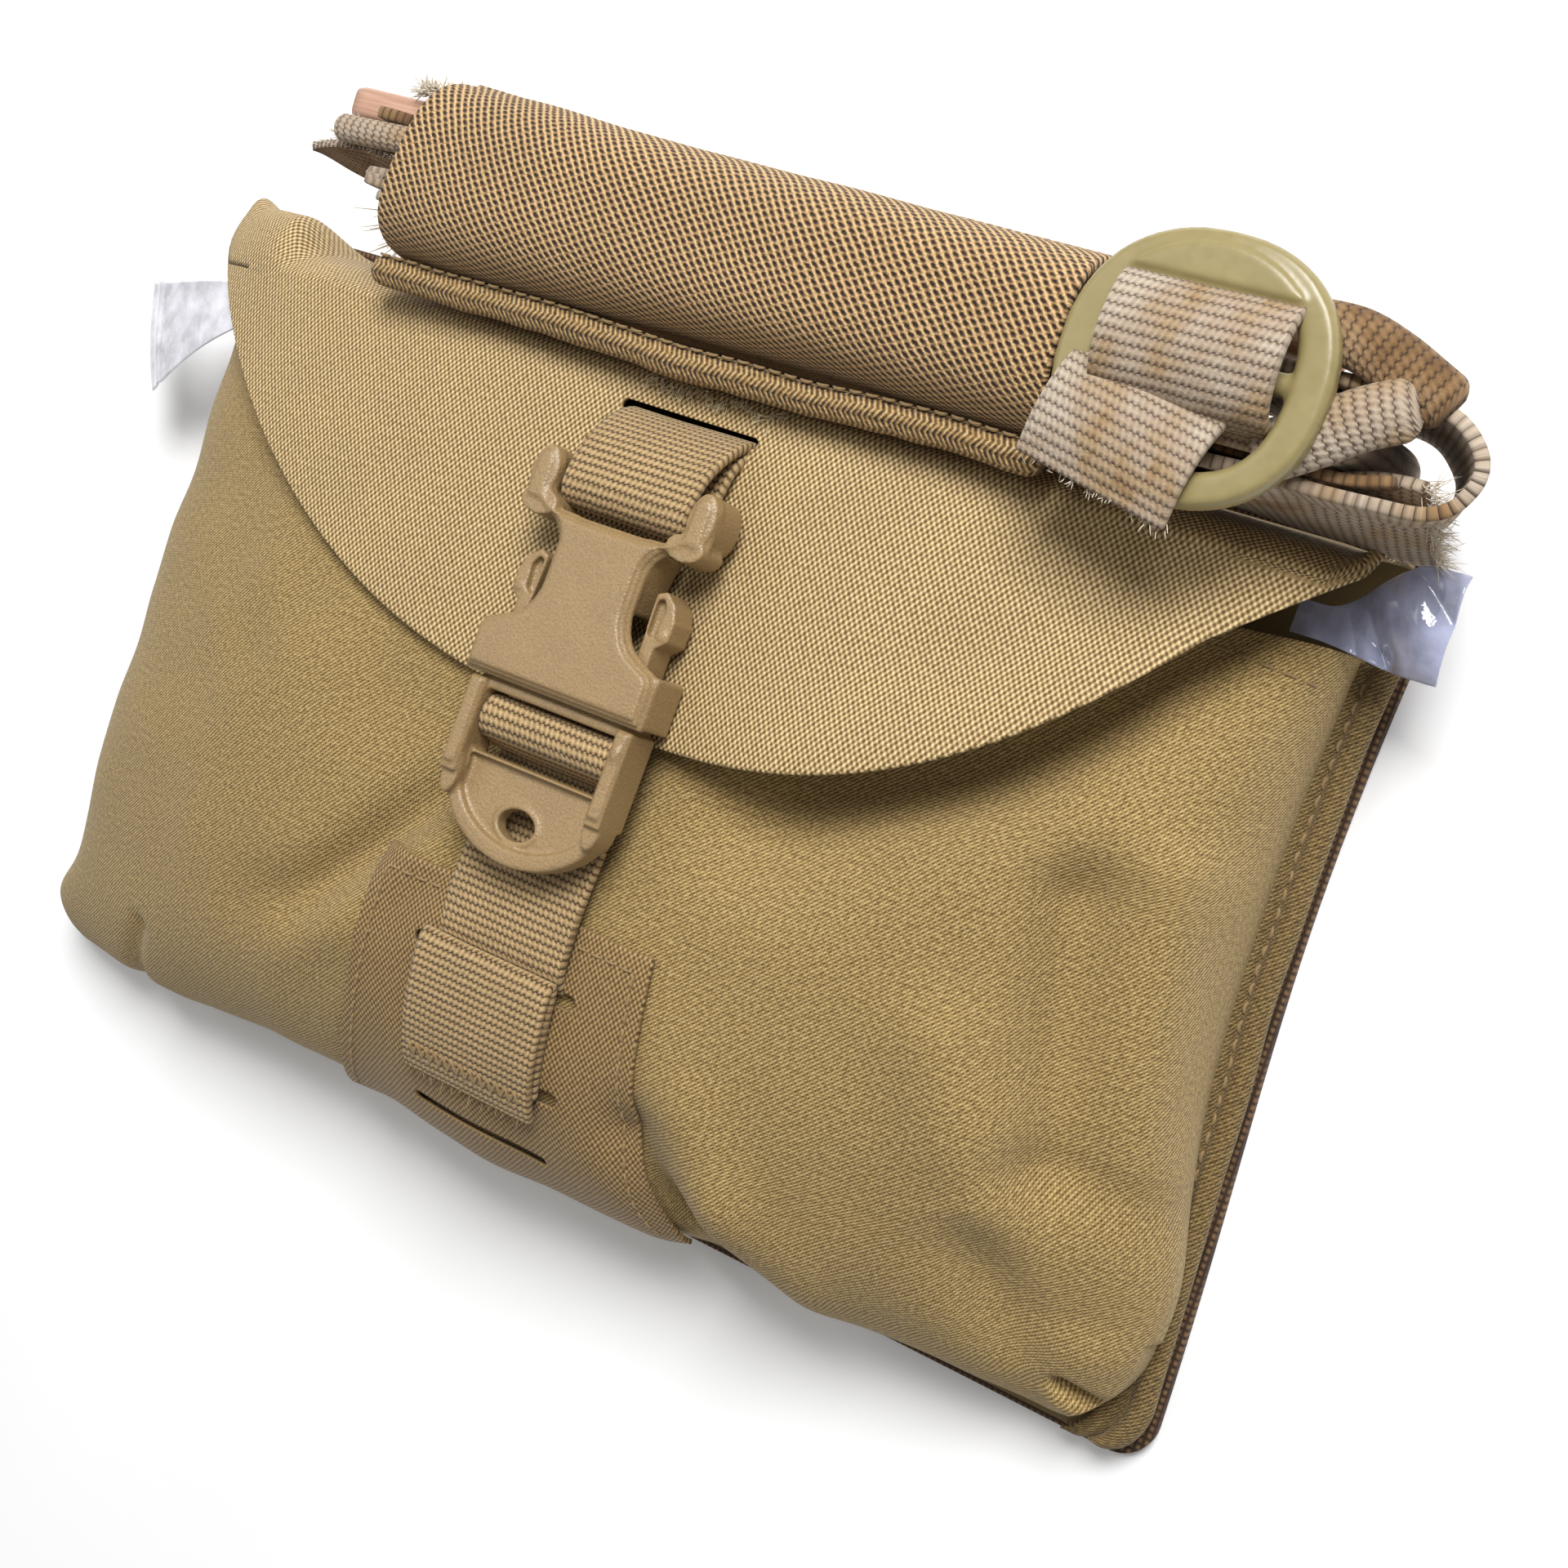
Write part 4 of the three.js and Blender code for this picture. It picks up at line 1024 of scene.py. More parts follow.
def seam_strip(side):
    """The folded seam allowance along one side, with a sunken line of stitches."""
    y = np.linspace(-56.2, MOUTH - 0.3, 190)
    section = catmull(SEAM_SECTION, 34)
    sway = 0.35 * value_noise(y / 11.0, y * 0 + side * 3.1, 11)
    turn = np.clip((-49.0 - y) / 7.4, 0.0, 1.0)
    round_in = 5.0 * (1.0 - np.sqrt(1.0 - turn ** 2))
    across, height = section.T[:, :, None]
    points = np.zeros((len(section), len(y), 3))
    points[:, :, 0] = pinched(side * (across + sway * 0.7 - round_in), y)
    points[:, :, 1] = y
    points[:, :, 2] = height + np.abs(sway) * 0.5
    if side > 0:
        points = points[::-1]
    name = f"side_seam_{side_name(side)}"
    # The strip's darker copy of the stretch fabric is painted shade.
    piece = cloth(f"{name}_strip", points, 0.5, STRETCH_PAINTED_SHADE, lift=-0.25)
    place(piece, "pouch", "stretch_fabric", name)
    declare(piece)
    line = [(pinched(side * 86.5, value), value) for value in np.linspace(-48, MOUTH - 2, 60)]
    points, normals = top_surface(piece)(line, 0.05)
    stitches(f"{name}_stitches", points, normals, "stretch_fabric", 2.3, 1.6, 0.24)


def mouth_hem(front):
    """The stitched hem of the mouth."""
    settle = top_surface(front)
    for side in (-1, 1):
        line = [(side * value, MOUTH - 3.4 - 0.07 * (value - 66)) for value in np.linspace(58, 80.6, 36)]
        points, normals = settle(line, 0.02)
        stitches(f"mouth_stitches_{side_name(side)}", points, normals, "stretch_fabric", 2.7, 2.0, 0.2)


# ---------- flap ----------

def flap_cloth():
    """The flap's leaf, up to its fold, and its spine, from there to where it is sewn to the back."""
    columns, leaf_rows, spine_rows = 240, 96, 34
    across = np.linspace(-FLAP_REACH, FLAP_REACH, 4000)
    x = even_steps(across, flap_height(across, 30.0), columns)[0][:, None]
    edge = np.minimum(flap_edge(x), FLAP_BACK - 1.4)
    fold = np.maximum(HINGE_Y, edge + 0.4)
    v = np.linspace(0, 1, leaf_rows)[None, :]
    y = edge + (fold - edge) * v
    z = flap_height(x, y)
    lifted = 2.2 * smoothstep(12, 40, x) * smoothstep(86, 64, x) * (1 - smoothstep(0, 14, y - flap_edge(x)))
    z = z + lifted + 0.25 * value_noise(x / 15.0, y / 15.0, 21)
    leaf = np.dstack([x + 0 * y, y, z])
    v = np.linspace(0, 1, spine_rows + 1)[None, 1:]
    bulge = 1.0 + 5.0 * smoothstep(0, 6, -70 - x)
    start = fold + 0.2
    y = start + (FLAP_BACK - start) * v + bulge * np.sin(np.pi * v)
    top = flap_height(x, start)
    z = BASE + 0.3 + (top - BASE - 0.3) * (1 - v ** 2.2)
    spine = np.dstack([x + 0 * y, y, z])
    points = np.concatenate([leaf, spine], axis=1)
    inward = np.concatenate([np.zeros(leaf_rows), smoothstep(0, 0.3, v[0])])
    points = points - grid_normals(points) * (0.8 * inward)[None, :, None]
    points[:, :, 0] -= 0.75 * np.maximum(points[:, :, 0] - FLAP_DRAWN_IN_FROM, 0.0)
    piece = cloth("flap_cloth", points, 0.8, FLAP_FABRIC, uv=arc_uv(points, leaf_rows - 1), edge=CUT_EDGE_AND_SHADE)
    slit = ((BUCKLE_AT[0] - 10.6, 44.7), (BUCKLE_AT[0] + 9.6, 44.5), 1.5, 24, 36)
    piece = cut_slots(piece, (FLAP_FABRIC, CUT_EDGE_AND_SHADE), [slit])
    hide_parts("flap_front", "flap_spine")
    declare(piece)
    return piece


def fibres(name, places, material, body, slot, count, length, radius=0.06, way=(0, 0, 1), seed=5):
    """Loose thread ends that start at random from the places."""
    draw = random.Random(seed)

    def shaken(reach):
        return [draw.uniform(-reach, reach) for _ in range(3)]

    parts = []
    for _ in range(count):
        start = np.array(places[draw.randrange(len(places))], float)
        start += shaken(0.5)
        heading = np.array(way, float) + shaken(0.8)
        heading /= np.linalg.norm(heading)
        curl = np.array(shaken(1))
        reach = length * draw.uniform(0.4, 1.0)
        line = [start + heading * reach * t + curl * reach * 0.4 * t * t for t in np.linspace(0, 1, 6)]
        parts.append(tube_mesh(line, radius * FIBRE_SIZES, 5, up=(0.3, 0.2, 1)))
    verts, faces, _ = merge(parts)
    place(make_object(name, verts, faces, material), body, slot)


# ---------- bottom patch, strap and its sewn end ----------

PATCH_X = 1.5
PATCH_HALVES = (28.0, 20.8)      # half widths at the bottom and the top
PATCH_TURNS = (0.16, 0.875)      # quarter turns of the front's rounding that it spans
PATCH_SEAM = 1.9                 # from its edge to its stitches
STOP_X, STOP_HALF = 1.5, 10.0
SLOT_HALF = 12.4


def patch_half(share):
    bottom, top = PATCH_HALVES
    return bottom + (top - bottom) * share ** 0.7


def patch_y(share):
    """The place along the pouch at a share of the way up the patch."""
    low, high = PATCH_TURNS
    turn = np.pi / 2 * (low + (high - low) * share)
    return BOTTOM * np.cos(turn) ** (2 / SQUARENESS)


def front_patch():
    columns, rows = 90, 96
    u = np.linspace(-1, 1, columns)[:, None]
    v = np.linspace(0, 1, rows)[None, :]
    y = patch_y(v)
    x = PATCH_X + patch_half(v) * u
    z = body_height(x, y)
    points = np.dstack([x, y + 0 * x, z])
    points = points + grid_normals(points) * (0.35 + front_wrinkles(x, y))[:, :, None]
    # The patch's dark cut edge also carries painted shade for the gap round its outline.
    piece = cloth("front_patch_cloth", points, 0.7, PATCH_FABRIC, edge=CUT_EDGE_AND_SHADE)
    slots = [((PATCH_X - SLOT_HALF, y), (PATCH_X + SLOT_HALF, y), 1.9, low, 40)
             for y, low in ((-26.6, 24), (-39.5, 20))]
    slots.append(((PATCH_X - 10.5, -48.0), (PATCH_X + 10.5, -49.0), 1.2, 14, 34))
    piece = cut_slots(piece, (PATCH_FABRIC, CUT_EDGE_AND_SHADE), slots)
    place(piece, "pouch", "laminate", "front_patch")
    declare(piece)
    patch_stitches(piece)


def patch_stitches(patch):
    """A line of stitching just inside the patch's edge."""
    settle = top_surface(patch)
    share = np.linspace(0.06, 0.965, 40)
    y = patch_y(share)
    right = np.column_stack([PATCH_X + patch_half(share) - PATCH_SEAM, y])
    left = np.column_stack([PATCH_X - patch_half(share) + PATCH_SEAM, y])
    top = np.column_stack([np.linspace(left[-1, 0], right[-1, 0], 30), np.full(30, y[-1])])
    for name, line in (("right", right), ("left", left), ("top", top)):
        points, normals = settle(line, 0.02)
        stitches(f"patch_stitches_{name}", points, normals, "webbing", 2.3, 1.7, 0.17)


def over_front(y, lift):
    """A point of the buckle's strap, above the highest part of the front beneath its width."""
    heights = [float(body_height(DENT_X + offset, np.array(y))) for offset in (-WEB_HALF, 0, WEB_HALF)]
    return (y, max(heights) + lift)


def strap_lower():
    """The strap from the patch's upper slot to the buckle, bending between the two."""
    path = [over_front(*place) for place in (
        (-26.6, -1.6), (-25.4, 0.6), (-23.4, 2.1), (-19, 2.3), (-14, 2.1), (-8, 1.5), (-2, 1.3), (2.4, 1.3))]
    piece = web("strap_lower_web", path, WEB_HALF, 1.3, WEBBING, DENT_X, 70)
    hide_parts("strap_lower")
    declare(piece)
    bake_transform(piece)


def strap_stop():
    """The strap's end, folded on itself and sewn across with a zigzag."""
    low, high = 2.3, 3.8
    path = [over_front(*place) for place in (
        (-40, low), (-36, low), (-30, low), (-26.2, low), (-25.0, low + 0.75), (-26.0, high),
        (-30, high + 0.3), (-36, high + 0.2), (-41, high - 0.4), (-43, high - 0.9))]
    piece = web("strap_stop_web", path, STOP_HALF, 1.1, WEBBING, STOP_X, 90, seed=4)
    place(piece, "pouch", "webbing", "strap_stop")
    declare(piece)
    teeth = 26
    line = [(STOP_X - 8.8 + 17.6 * step / (teeth - 1), -39.6 - 1.5 * (step % 2)) for step in range(teeth)]
    points, _ = top_surface(piece)(line, 0.1)
    even, _ = resample(points, 0.35)
    verts, faces, _ = tube_mesh(even + [0, 0, 0.05], 0.2, 6)
    place(make_object("stop_zigzag", verts, faces, THREAD), "pouch", "webbing")
    ends = [(x, *over_front(-43.2, high - 0.9)) for x in np.linspace(STOP_X - 9, STOP_X + 9, 30)]
    fibres("stop_fibres", ends, THREAD, "pouch", "webbing", 50, 1.6, way=(0, -1, 0.1), seed=8)


# ---------- sleeve ----------

SLEEVE_HALF = 48.6
SLEEVE_MIDDLE = (65.6, 24.2)
SLEEVE_REACH = (11.8, 17.1)
SLEEVE_POWER = 2 / 3.2
HEM_RADIUS = 2.0


def sleeve_section(count, x):
    """The sleeve's outline in (y, z) at one place along it, going over the top towards the front."""
    angle = np.linspace(0, 2 * np.pi, count) + 0.35
    cos, sin = np.cos(angle), np.sin(angle)
    y = SLEEVE_MIDDLE[0] + SLEEVE_REACH[0] * signed_power(cos, SLEEVE_POWER)
    z = SLEEVE_MIDDLE[1] + SLEEVE_REACH[1] * signed_power(sin, SLEEVE_POWER)
    full = 0.35 * value_noise(x / 17.0, angle * 1.1, 31)
    return np.column_stack([y + full * cos, z + full * sin])


def sleeve():
    columns, rows = 160, 170
    x = np.linspace(-SLEEVE_HALF, SLEEVE_HALF, rows)
    points = np.zeros((columns, rows, 3))
    for row, place_x in enumerate(x):
        points[:, row, 0] = place_x
        points[:, row, 1:] = sleeve_section(columns, place_x)
    rearward = np.clip((points[:, :, 1] - 54.0) / 23.0, 0.0, 1.0)
    points[:, :, 0] += (2.2 + 4.4 * rearward ** 1.5) * smoothstep(-10, -SLEEVE_HALF, points[:, :, 0])
    points[:, :, 1] -= 1.5 * rearward * (x[None, :] + 20.0) / 60.0
    points[-1] = points[0]
    piece = cloth("sleeve_cloth", points, 1.3, ELASTIC, lift=-1.3, closed_u=True)
    place(piece, "pouch", "elastic", "tourniquet_sleeve")
    declare(piece)


def hem_line(x):
    """(y, z) of the rolled hem along the sleeve."""
    y = 51.9 - 0.7 * bell(x, 6.0, 24.0) + 0.2 * value_noise(x / 9.0, 0 * x, 41)
    z = 33.6 - 0.5 * bell(x, 6.0, 24.0) + 0.15 * value_noise(x / 7.0, 0 * x + 5, 42)
    return y, z


def sleeve_hem():
    x = np.linspace(-SLEEVE_HALF, SLEEVE_HALF, 220)
    y, z = hem_line(x)
    radius = HEM_RADIUS + 0.12 * value_noise(x / 3.0, 0 * x + 9, 43)
    ends = [0.55, 0.8, 0.92, 0.98]
    radius[:4] *= ends
    radius[-4:] *= ends[::-1]
    verts, faces, uv = tube_mesh(np.column_stack([x, y, z]), radius, 22, squash=0.95)
    piece = make_object("sleeve_hem_roll", verts, faces, HEM_KNIT, uv)
    place(piece, "pouch", "elastic", "sleeve_hem")
    line = np.column_stack([x, y + 1.9, z + 1.5])[2:-2]
    normals = np.tile([0, -0.6, 0.8], (len(line), 1))
    stitches("hem_stitches", line, normals, "elastic", 2.2, 1.7, 0.2)


# ---------- rear ----------

SLOTS_X = (-57, -19, 19, 57)
SLOTS_Y = (-38, -12.5, 13, 38.5)
SLOT_REACH = 13
SLOT_HEIGHT = 3.2


def pinched_outline(half, bottom, top, corner):
    """A rounded rectangle whose two sides are drawn in by the stuffing."""
    outline = []
    corners = rounded(-half, half, bottom, top, corner, 10)
    for point, following in zip(corners, np.roll(corners, -1, axis=0)):
        steps = 24 if abs(following[1] - point[1]) > corner else 1
        outline.extend(point + (following - point) * step / steps for step in range(steps))
    outline = np.array(outline)
    return np.column_stack([pinched(outline[:, 0], outline[:, 1]), outline[:, 1]])


def panel(name, outline, low, thickness, material, holes=()):
    """A flat panel with softened edges."""
    verts, faces, _ = prism([outline, *holes], low, low + thickness)
    piece = make_object(name, verts, faces, material)
    fix_normals(piece)
    bevel = piece.modifiers.new("edge", "BEVEL")
    bevel.width = 0.22 * MM
    bevel.segments = 2
    return applied(piece, [material])


def rear_pieces():
    holes = [rounded(x - SLOT_REACH, x + SLOT_REACH, y, y + SLOT_HEIGHT, 1.58, 8)[::-1]
             for y in SLOTS_Y for x in SLOTS_X]
    platform = panel("platform_panel", pinched_outline(90, -57.5, 56, 5), 0, 1.6, PLATFORM, holes)
    place(platform, "pouch", "platform", "rear_platform")
    back = panel("back_panel_cloth", pinched_outline(88.5, -56.4, 54.5, 4.5), 1.9, 1.0, BACK_FABRIC)
    place(back, "pouch", "laminate", "back_panel")
    edge = pinched_outline(86.5, -54.5, 53, 4)
    line = np.column_stack([edge, np.full(len(edge), 0.03)])
    line = np.vstack([line, line[:1]])
    down = np.tile([0, 0, -1.0], (len(line), 1))
    stitches("platform_stitches", line, down, "platform", 3.0, 2.3, 0.12)


# ---------- contents ----------

RIGHT_FILM_X = (75, 93.6)
LEFT_FILM_X = (-107.5, -78)
FILM_THICK = 0.3


def pad(name, node, seed):
    """A soft pack whose faces crown between rounded sides."""
    low, high = (np.array(corner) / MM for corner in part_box(node))
    middle, half = (low + high) / 2, (high - low) / 2
    rows, columns = 30, 60
    theta = np.linspace(-np.pi / 2, np.pi / 2, rows)[:, None]
    phi = np.linspace(0, 2 * np.pi, columns, endpoint=False)[None, :]
    side = signed_power(np.cos(theta), 0.35)
    x = side * signed_power(np.cos(phi), 0.3)
    y = side * signed_power(np.sin(phi), 0.3)
    z = signed_power(np.sin(theta), 0.6) + 0 * phi
    ripple = 1 + 0.012 * value_noise(phi * 3 + 0 * theta, theta * 4 + 0 * phi, seed)
    verts = np.dstack([middle[0] + half[0] * 0.985 * x * ripple, middle[1] + half[1] * 0.985 * y * ripple,
                       middle[2] + half[2] * (0.97 * z - 0.24 * np.maximum(z, 0.0))]).reshape(-1, 3)
    index = np.arange(len(verts)).reshape(rows, columns)
    ahead = np.roll(index, -1, axis=1)
    around = np.stack([index[:-1].ravel(), ahead[:-1].ravel(), ahead[1:].ravel(), index[1:].ravel()], 1)
    faces = [*around.tolist(), index[0][::-1].tolist(), index[-1].tolist()]
    piece = make_object(name, verts, faces, GAUZE)
    weld(piece)
    place(piece, "pouch", "gauze", node)


def film_corner():
    """The crumpled corner of a clear pack that shows at the right of the mouth."""
    u, v = shares(90, 40)
    start, end = RIGHT_FILM_X
    x = start + (end - start) * u + 0 * v
    flare = smoothstep(78, 90, x)
    low = 42.6 - 1.2 * flare
    high = 46.6 + 7.0 * flare
    y = low + (high - low) * v
    z = 11.5 + 2.5 * u + 3.0 * flare * v + 2.2 * np.abs(np.sin(4.4 * u + 3.4 * v)) * flare
    z = z + 4.2 * np.abs(value_noise((x + 0.6 * y) / 4.6, (y - 0.4 * x) / 11.0, 51)) * flare
    piece = cloth("film_corner", np.dstack([x, y, z]), FILM_THICK, FILM_RIGHT, lift=-FILM_THICK / 2)
    place(piece, "pouch", "film", "film_corner_right")
    declare(piece)


def film_tab():
    """The flat sealed end of a clear pack that sticks out at the left."""
    u, v = shares(60, 40)
    start, end = LEFT_FILM_X
    x = start + (end - start) * u + 0 * v
    low = 26.6 + (41.5 - 26.6) * u
    width = 15.6 + (5 - 15.6) * u
    y = low + width * v
    x = x + 6.0 * (1 - u) * (1 - v)
    z = 11 + 8.6 * np.sin(np.pi / 2 * u) + 0.5 * np.sin(4 * v + 3 * u) + 0.35 * bell(u, 0.09, 0.02)
    piece = cloth("film_tab", np.dstack([x, y, z]), FILM_THICK, FILM_LEFT, lift=-FILM_THICK / 2)
    place(piece, "pouch", "film", "film_tab_left")
    declare(piece)


# ---------- buckle, drawn flat with the collar's lower edge on its own X axis ----------

BUCKLE_PLACE = Matrix.Translation(Vector(BUCKLE_AT) * MM) @ Matrix.Rotation(BUCKLE_TILT, 4, "X")
BUCKLE_VOXEL = 0.24
ARM_VOXEL = 0.2
FEMALE_BAR = (25.6, 4.4, 1.6)     # y, z and radius
MALE_BAR = (-4.6, 3.4, 1.3)


def on_buckle(points):
    """Points of the buckle's own frame, in the CAD frame."""
    x, y, z = points.T
    cos, sin = math.cos(BUCKLE_TILT), math.sin(BUCKLE_TILT)
    return np.stack([x, y * cos - z * sin, y * sin + z * cos], axis=-1) + np.array(BUCKLE_AT)


def arc(x, y, radius_x, radius_y, start, end, steps=8):
    angles = np.radians(np.linspace(start, end, steps))
    return np.column_stack([x + radius_x * np.cos(angles), y + radius_y * np.sin(angles)])


def bar_x(half, y, z, radius):
    """A round bar along the buckle's X axis."""
    return tube_mesh([(x, y, z) for x in np.linspace(-half, half, 12)], radius, 20)


def box_part(x0, x1, y0, y1, z0, z1):
    return prism([rectangle(x0, x1, y0, y1)], z0, z1)


def both_sides(x0, x1, y0, y1, z0, z1):
    return [box_part(x0, x1, y0, y1, z0, z1), box_part(-x1, -x0, y0, y1, z0, z1)]


def female_half(inset):
    """The right half of the female face, from its collar up to its horn."""
    collar = arc(13.1 - 2.2, 4.6, 2.2 - inset, 2.6 - inset, 0, 60)
    waist = arc(10.6, 13.4, 4.1 + inset, 5.6 + inset, 250, 180, 9)
    shoulder = arc(11.2, 17.3, 4.7 + inset, 3.9 + inset, 175, 96, 9)
    horn = arc(11.4, 26.6, 1.9 - inset, 2.2 - inset, 0, 178, 11)
    foot = [(13.1 - inset, inset)]
    root = [(13.3 - inset, 21.2 + inset), (13.3 - inset, 24)]
    inner = [(9.5 + inset, 24.4)]
    hollow = arc(7.6, 24.0, 1.9 + inset, 2.2 + inset, -4, -88, 7)
    return np.vstack([foot, collar, waist, shoulder, root, horn, inner, hollow, [(4.0, 21.5 - inset)]])


def buckle_female():
    face = [prism([mirrored(female_half(inset))], low, high)
            for inset, low, high in ((0.0, 6.7, 7.5), (0.45, 7.3, 8.2), (0.95, 8.0, 8.75))]
    walls = both_sides(11.9, 13.1, 0.2, 6.6, 0.8, 7.2)
    floor = prism([mirrored(np.array([(6.4, 12.6), (6.4, 16.5), (7.0, 20.4)]))], 0.9, 7.2)
    horns = [prism([arc(side * 11.4, 25.4, 1.9, 3.4, 0, 360, 22)[:-1]], 1.6, 8.3) for side in (-1, 1)]
    shoulders = [prism([arc(side * 10.6, 21.8, 2.7, 1.7, 0, 360, 18)[:-1]], 3.0, 8.4) for side in (-1, 1)]
    parts = [*face, *walls, floor, *horns, *shoulders, bar_x(11.2, *FEMALE_BAR)]
    piece = moulded("buckle_female_half", parts, BUCKLE_PLASTIC, BUCKLE_VOXEL, 7, BUCKLE_PLACE)
    place(piece, "flap", "buckle_plastic", "buckle_female")


def tab_outline(inset):
    """The right half of the tab's round end, from its tip up to the rail."""
    return np.vstack([arc(0, -11.2, 12.0 - inset, 9.8 - inset, -88, -4, 16), [(12.0 - inset, -9.6)]])


def buckle_frame():
    hole = ellipse(-0.5, -16.0, 2.7, 1.9)[::-1]
    rim = prism([ellipse(-0.5, -16.0, 3.3, 2.5), hole], 3.6, 4.2)
    tab = mirrored(tab_outline(0.0))
    pan = prism([tab, hole], 1.9, 3.9)
    lip = prism([tab, mirrored(tab_outline(1.7) + [0, 0.4])[::-1]], 1.9, 5.0)
    rails = both_sides(9.7, 12.0, -12.5, -0.5, 1.1, 7.0) + both_sides(10.1, 11.7, -11.5, -0.8, 6.8, 7.5)
    bridge = [box_part(-11.2, 11.2, -1.3, 1.7, 1.1, 5.9), box_part(-11.2, 11.2, -1.6, -0.5, 1.1, 6.2)]
    guide = box_part(-1.8, 1.8, 1.4, 11.6, 1.7, 5.6)
    shoulders = [prism([ellipse(side * 10.7, -12.0, 1.3, 3.4)], 1.9, 6.3) for side in (-1, 1)]
    mark = prism([ellipse(11.0, -3.4, 0.55, 0.85)], 7.0, 7.85)
    parts = [pan, lip, rim, *rails, *bridge, guide, *shoulders, bar_x(10.8, *MALE_BAR), mark]
    piece = moulded("buckle_male_frame", parts, BUCKLE_PLASTIC, BUCKLE_VOXEL, 6, BUCKLE_PLACE)
    place(piece, "buckle_plug", "buckle_plastic", "buckle_frame")


def buckle_arm(side):
    """One springy arm, with a recess and a small mark in its paddle."""
    outer = np.array([(8.3, 2.1), (10.1, 2.1), (10.1, 9.6), (11.5, 10.8), (11.6, 13.2), (10.9, 15.2),
                      (9.3, 16.5), (8.0, 15.9), (8.3, 9.6)]) * [side, 1]
    recess = np.array([(8.5, 10.6), (9.6, 11.4), (9.9, 14.4), (9.2, 15.6), (8.4, 15.2)]) * [side, 1]
    lower = prism([outer], 1.3, 5.0)
    upper = prism([outer, recess[::-1]], 4.4, 6.1)
    mark = prism([ellipse(side * 10.5, 11.4, 0.55, 0.55, 16)], 5.6, 6.3)
    name = side_name(side)
    piece = moulded(f"buckle_prong_{name}", [lower, upper, mark], BUCKLE_PLASTIC, ARM_VOXEL, 4, BUCKLE_PLACE)
    place(piece, f"arm_{name}", "buckle_plastic", f"buckle_arm_{name}")


def around_bar(y, z, reach, start, end):
    """(y, z) points round a bar, from one angle to another in degrees."""
    angles = np.radians(np.linspace(start, end, 9))
    return [(y + reach * math.sin(angle), z + reach * math.cos(angle)) for angle in angles]


def buckle_web(name, path, half, body, node, steps, seed):
    """Webbing drawn in the buckle's frame."""
    line = catmull(path, steps)
    world = on_buckle(np.column_stack([np.zeros(steps), line]))[:, 1:]
    piece = web(name, world, half, 1.3, WEBBING, BUCKLE_AT[0], steps, wave=0.1, across=24, seed=seed)
    place(piece, body, "webbing", node)
    declare(piece)


def flap_webbing():
    y, z, radius = FEMALE_BAR
    path = [(36.6, -3.4), (36.3, -1.6), (35.2, 0.9), (33.0, 3.6), (30.0, 5.8),
            *around_bar(y, z, radius + 0.95, 15, -195), (30.2, 1.1), (33.0, 0.1), (34.8, -1.6), (35.2, -3.4)]
    buckle_web("flap_web", path, 8.9, "flap", "flap_webbing", 90, 14)


def strap_over_bar():
    y, z, radius = MALE_BAR
    reach = radius + 0.85
    path = [(y - reach - 0.9, 0.9), (y - reach - 0.4, 2.2), *around_bar(y, z, reach, -100, 110),
            (y + 1.5, 1.6)]
    buckle_web("bar_web", path, 9.4, "buckle_plug", "strap_over_bar", 60, 15)


# ---------- tourniquet ----------

STRAP_LOW, STRAP_HIGH = 11.4, 36.8
STRAP_THICK = 1.5
LAYER_THICK = 1.25
LAYERS_Y = (60.9, 62.35, 63.8)   # of the strap's three innermost layers


def on_tourniquet(piece, held, rests_on, *nodes):
    place(piece, "tourniquet", "camouflage_strap", *nodes)
    declare(piece)


def fray(name, places, count, length, **settings):
    """Loose thread ends on the tourniquet's strap."""
    fibres(name, places, FUZZ, "tourniquet", "camouflage_strap", count, length, **settings)


def upright(name, path, low, high, thickness, *nodes, steps, seed, wave=0.2, rests_on="sleeve_cloth",
            material=CAMOUFLAGE, lean=0.0):
    """A fold of the strap on its edge, along (x, y) points. lean draws its foot in at the right."""
    def shape(points):
        points[:, :, 0] -= lean * (high - points[:, :, 2]) * smoothstep(70, 94, points[:, :, 0])
        return points

    piece = web(name, path, (high - low) / 2, thickness, material, (low + high) / 2, steps, axis=2,
                wave=wave, across=26, seed=seed, shape=shape)
    on_tourniquet(piece, "folded", rests_on, *nodes)


def strap_folds():
    outer = [(-46, 56.6), (-20, 56.6), (20, 56.6), (60, 56.6), (84, 56.6), (91.5, 57.3), (94.3, 60.4),
             (94.2, 63.8), (91, 66.8), (86, 67.8), (78, 68), (40, 68), (0, 68), (-46, 68)]
    middle = [(-44, 59), (-10, 59), (40, 59), (72, 59.2), (80, 60.3), (82.1, 62.7), (80, 65.1), (72, 66.2),
              (40, 66.3), (-10, 66.3), (-46, 66.3)]
    first, second, third = LAYERS_Y
    core = [(-50, first), (0, first), (62, first), (64.4, (first + second) / 2), (62, second), (0, second),
            (-48, second), (-50.2, (second + third) / 2), (-48, third), (0, third), (63, third)]
    upright("strap_outer", outer, STRAP_LOW, STRAP_HIGH, STRAP_THICK, "strap_fold_outer", steps=190, seed=61,
            lean=0.26)
    upright("strap_middle", middle, STRAP_LOW, STRAP_HIGH - 0.6, STRAP_THICK, "strap_fold_middle", steps=150,
            seed=62)
    upright("strap_core_layers", core, STRAP_LOW, STRAP_HIGH - 0.8, LAYER_THICK, "strap_core", steps=150,
            wave=0.04, seed=63)


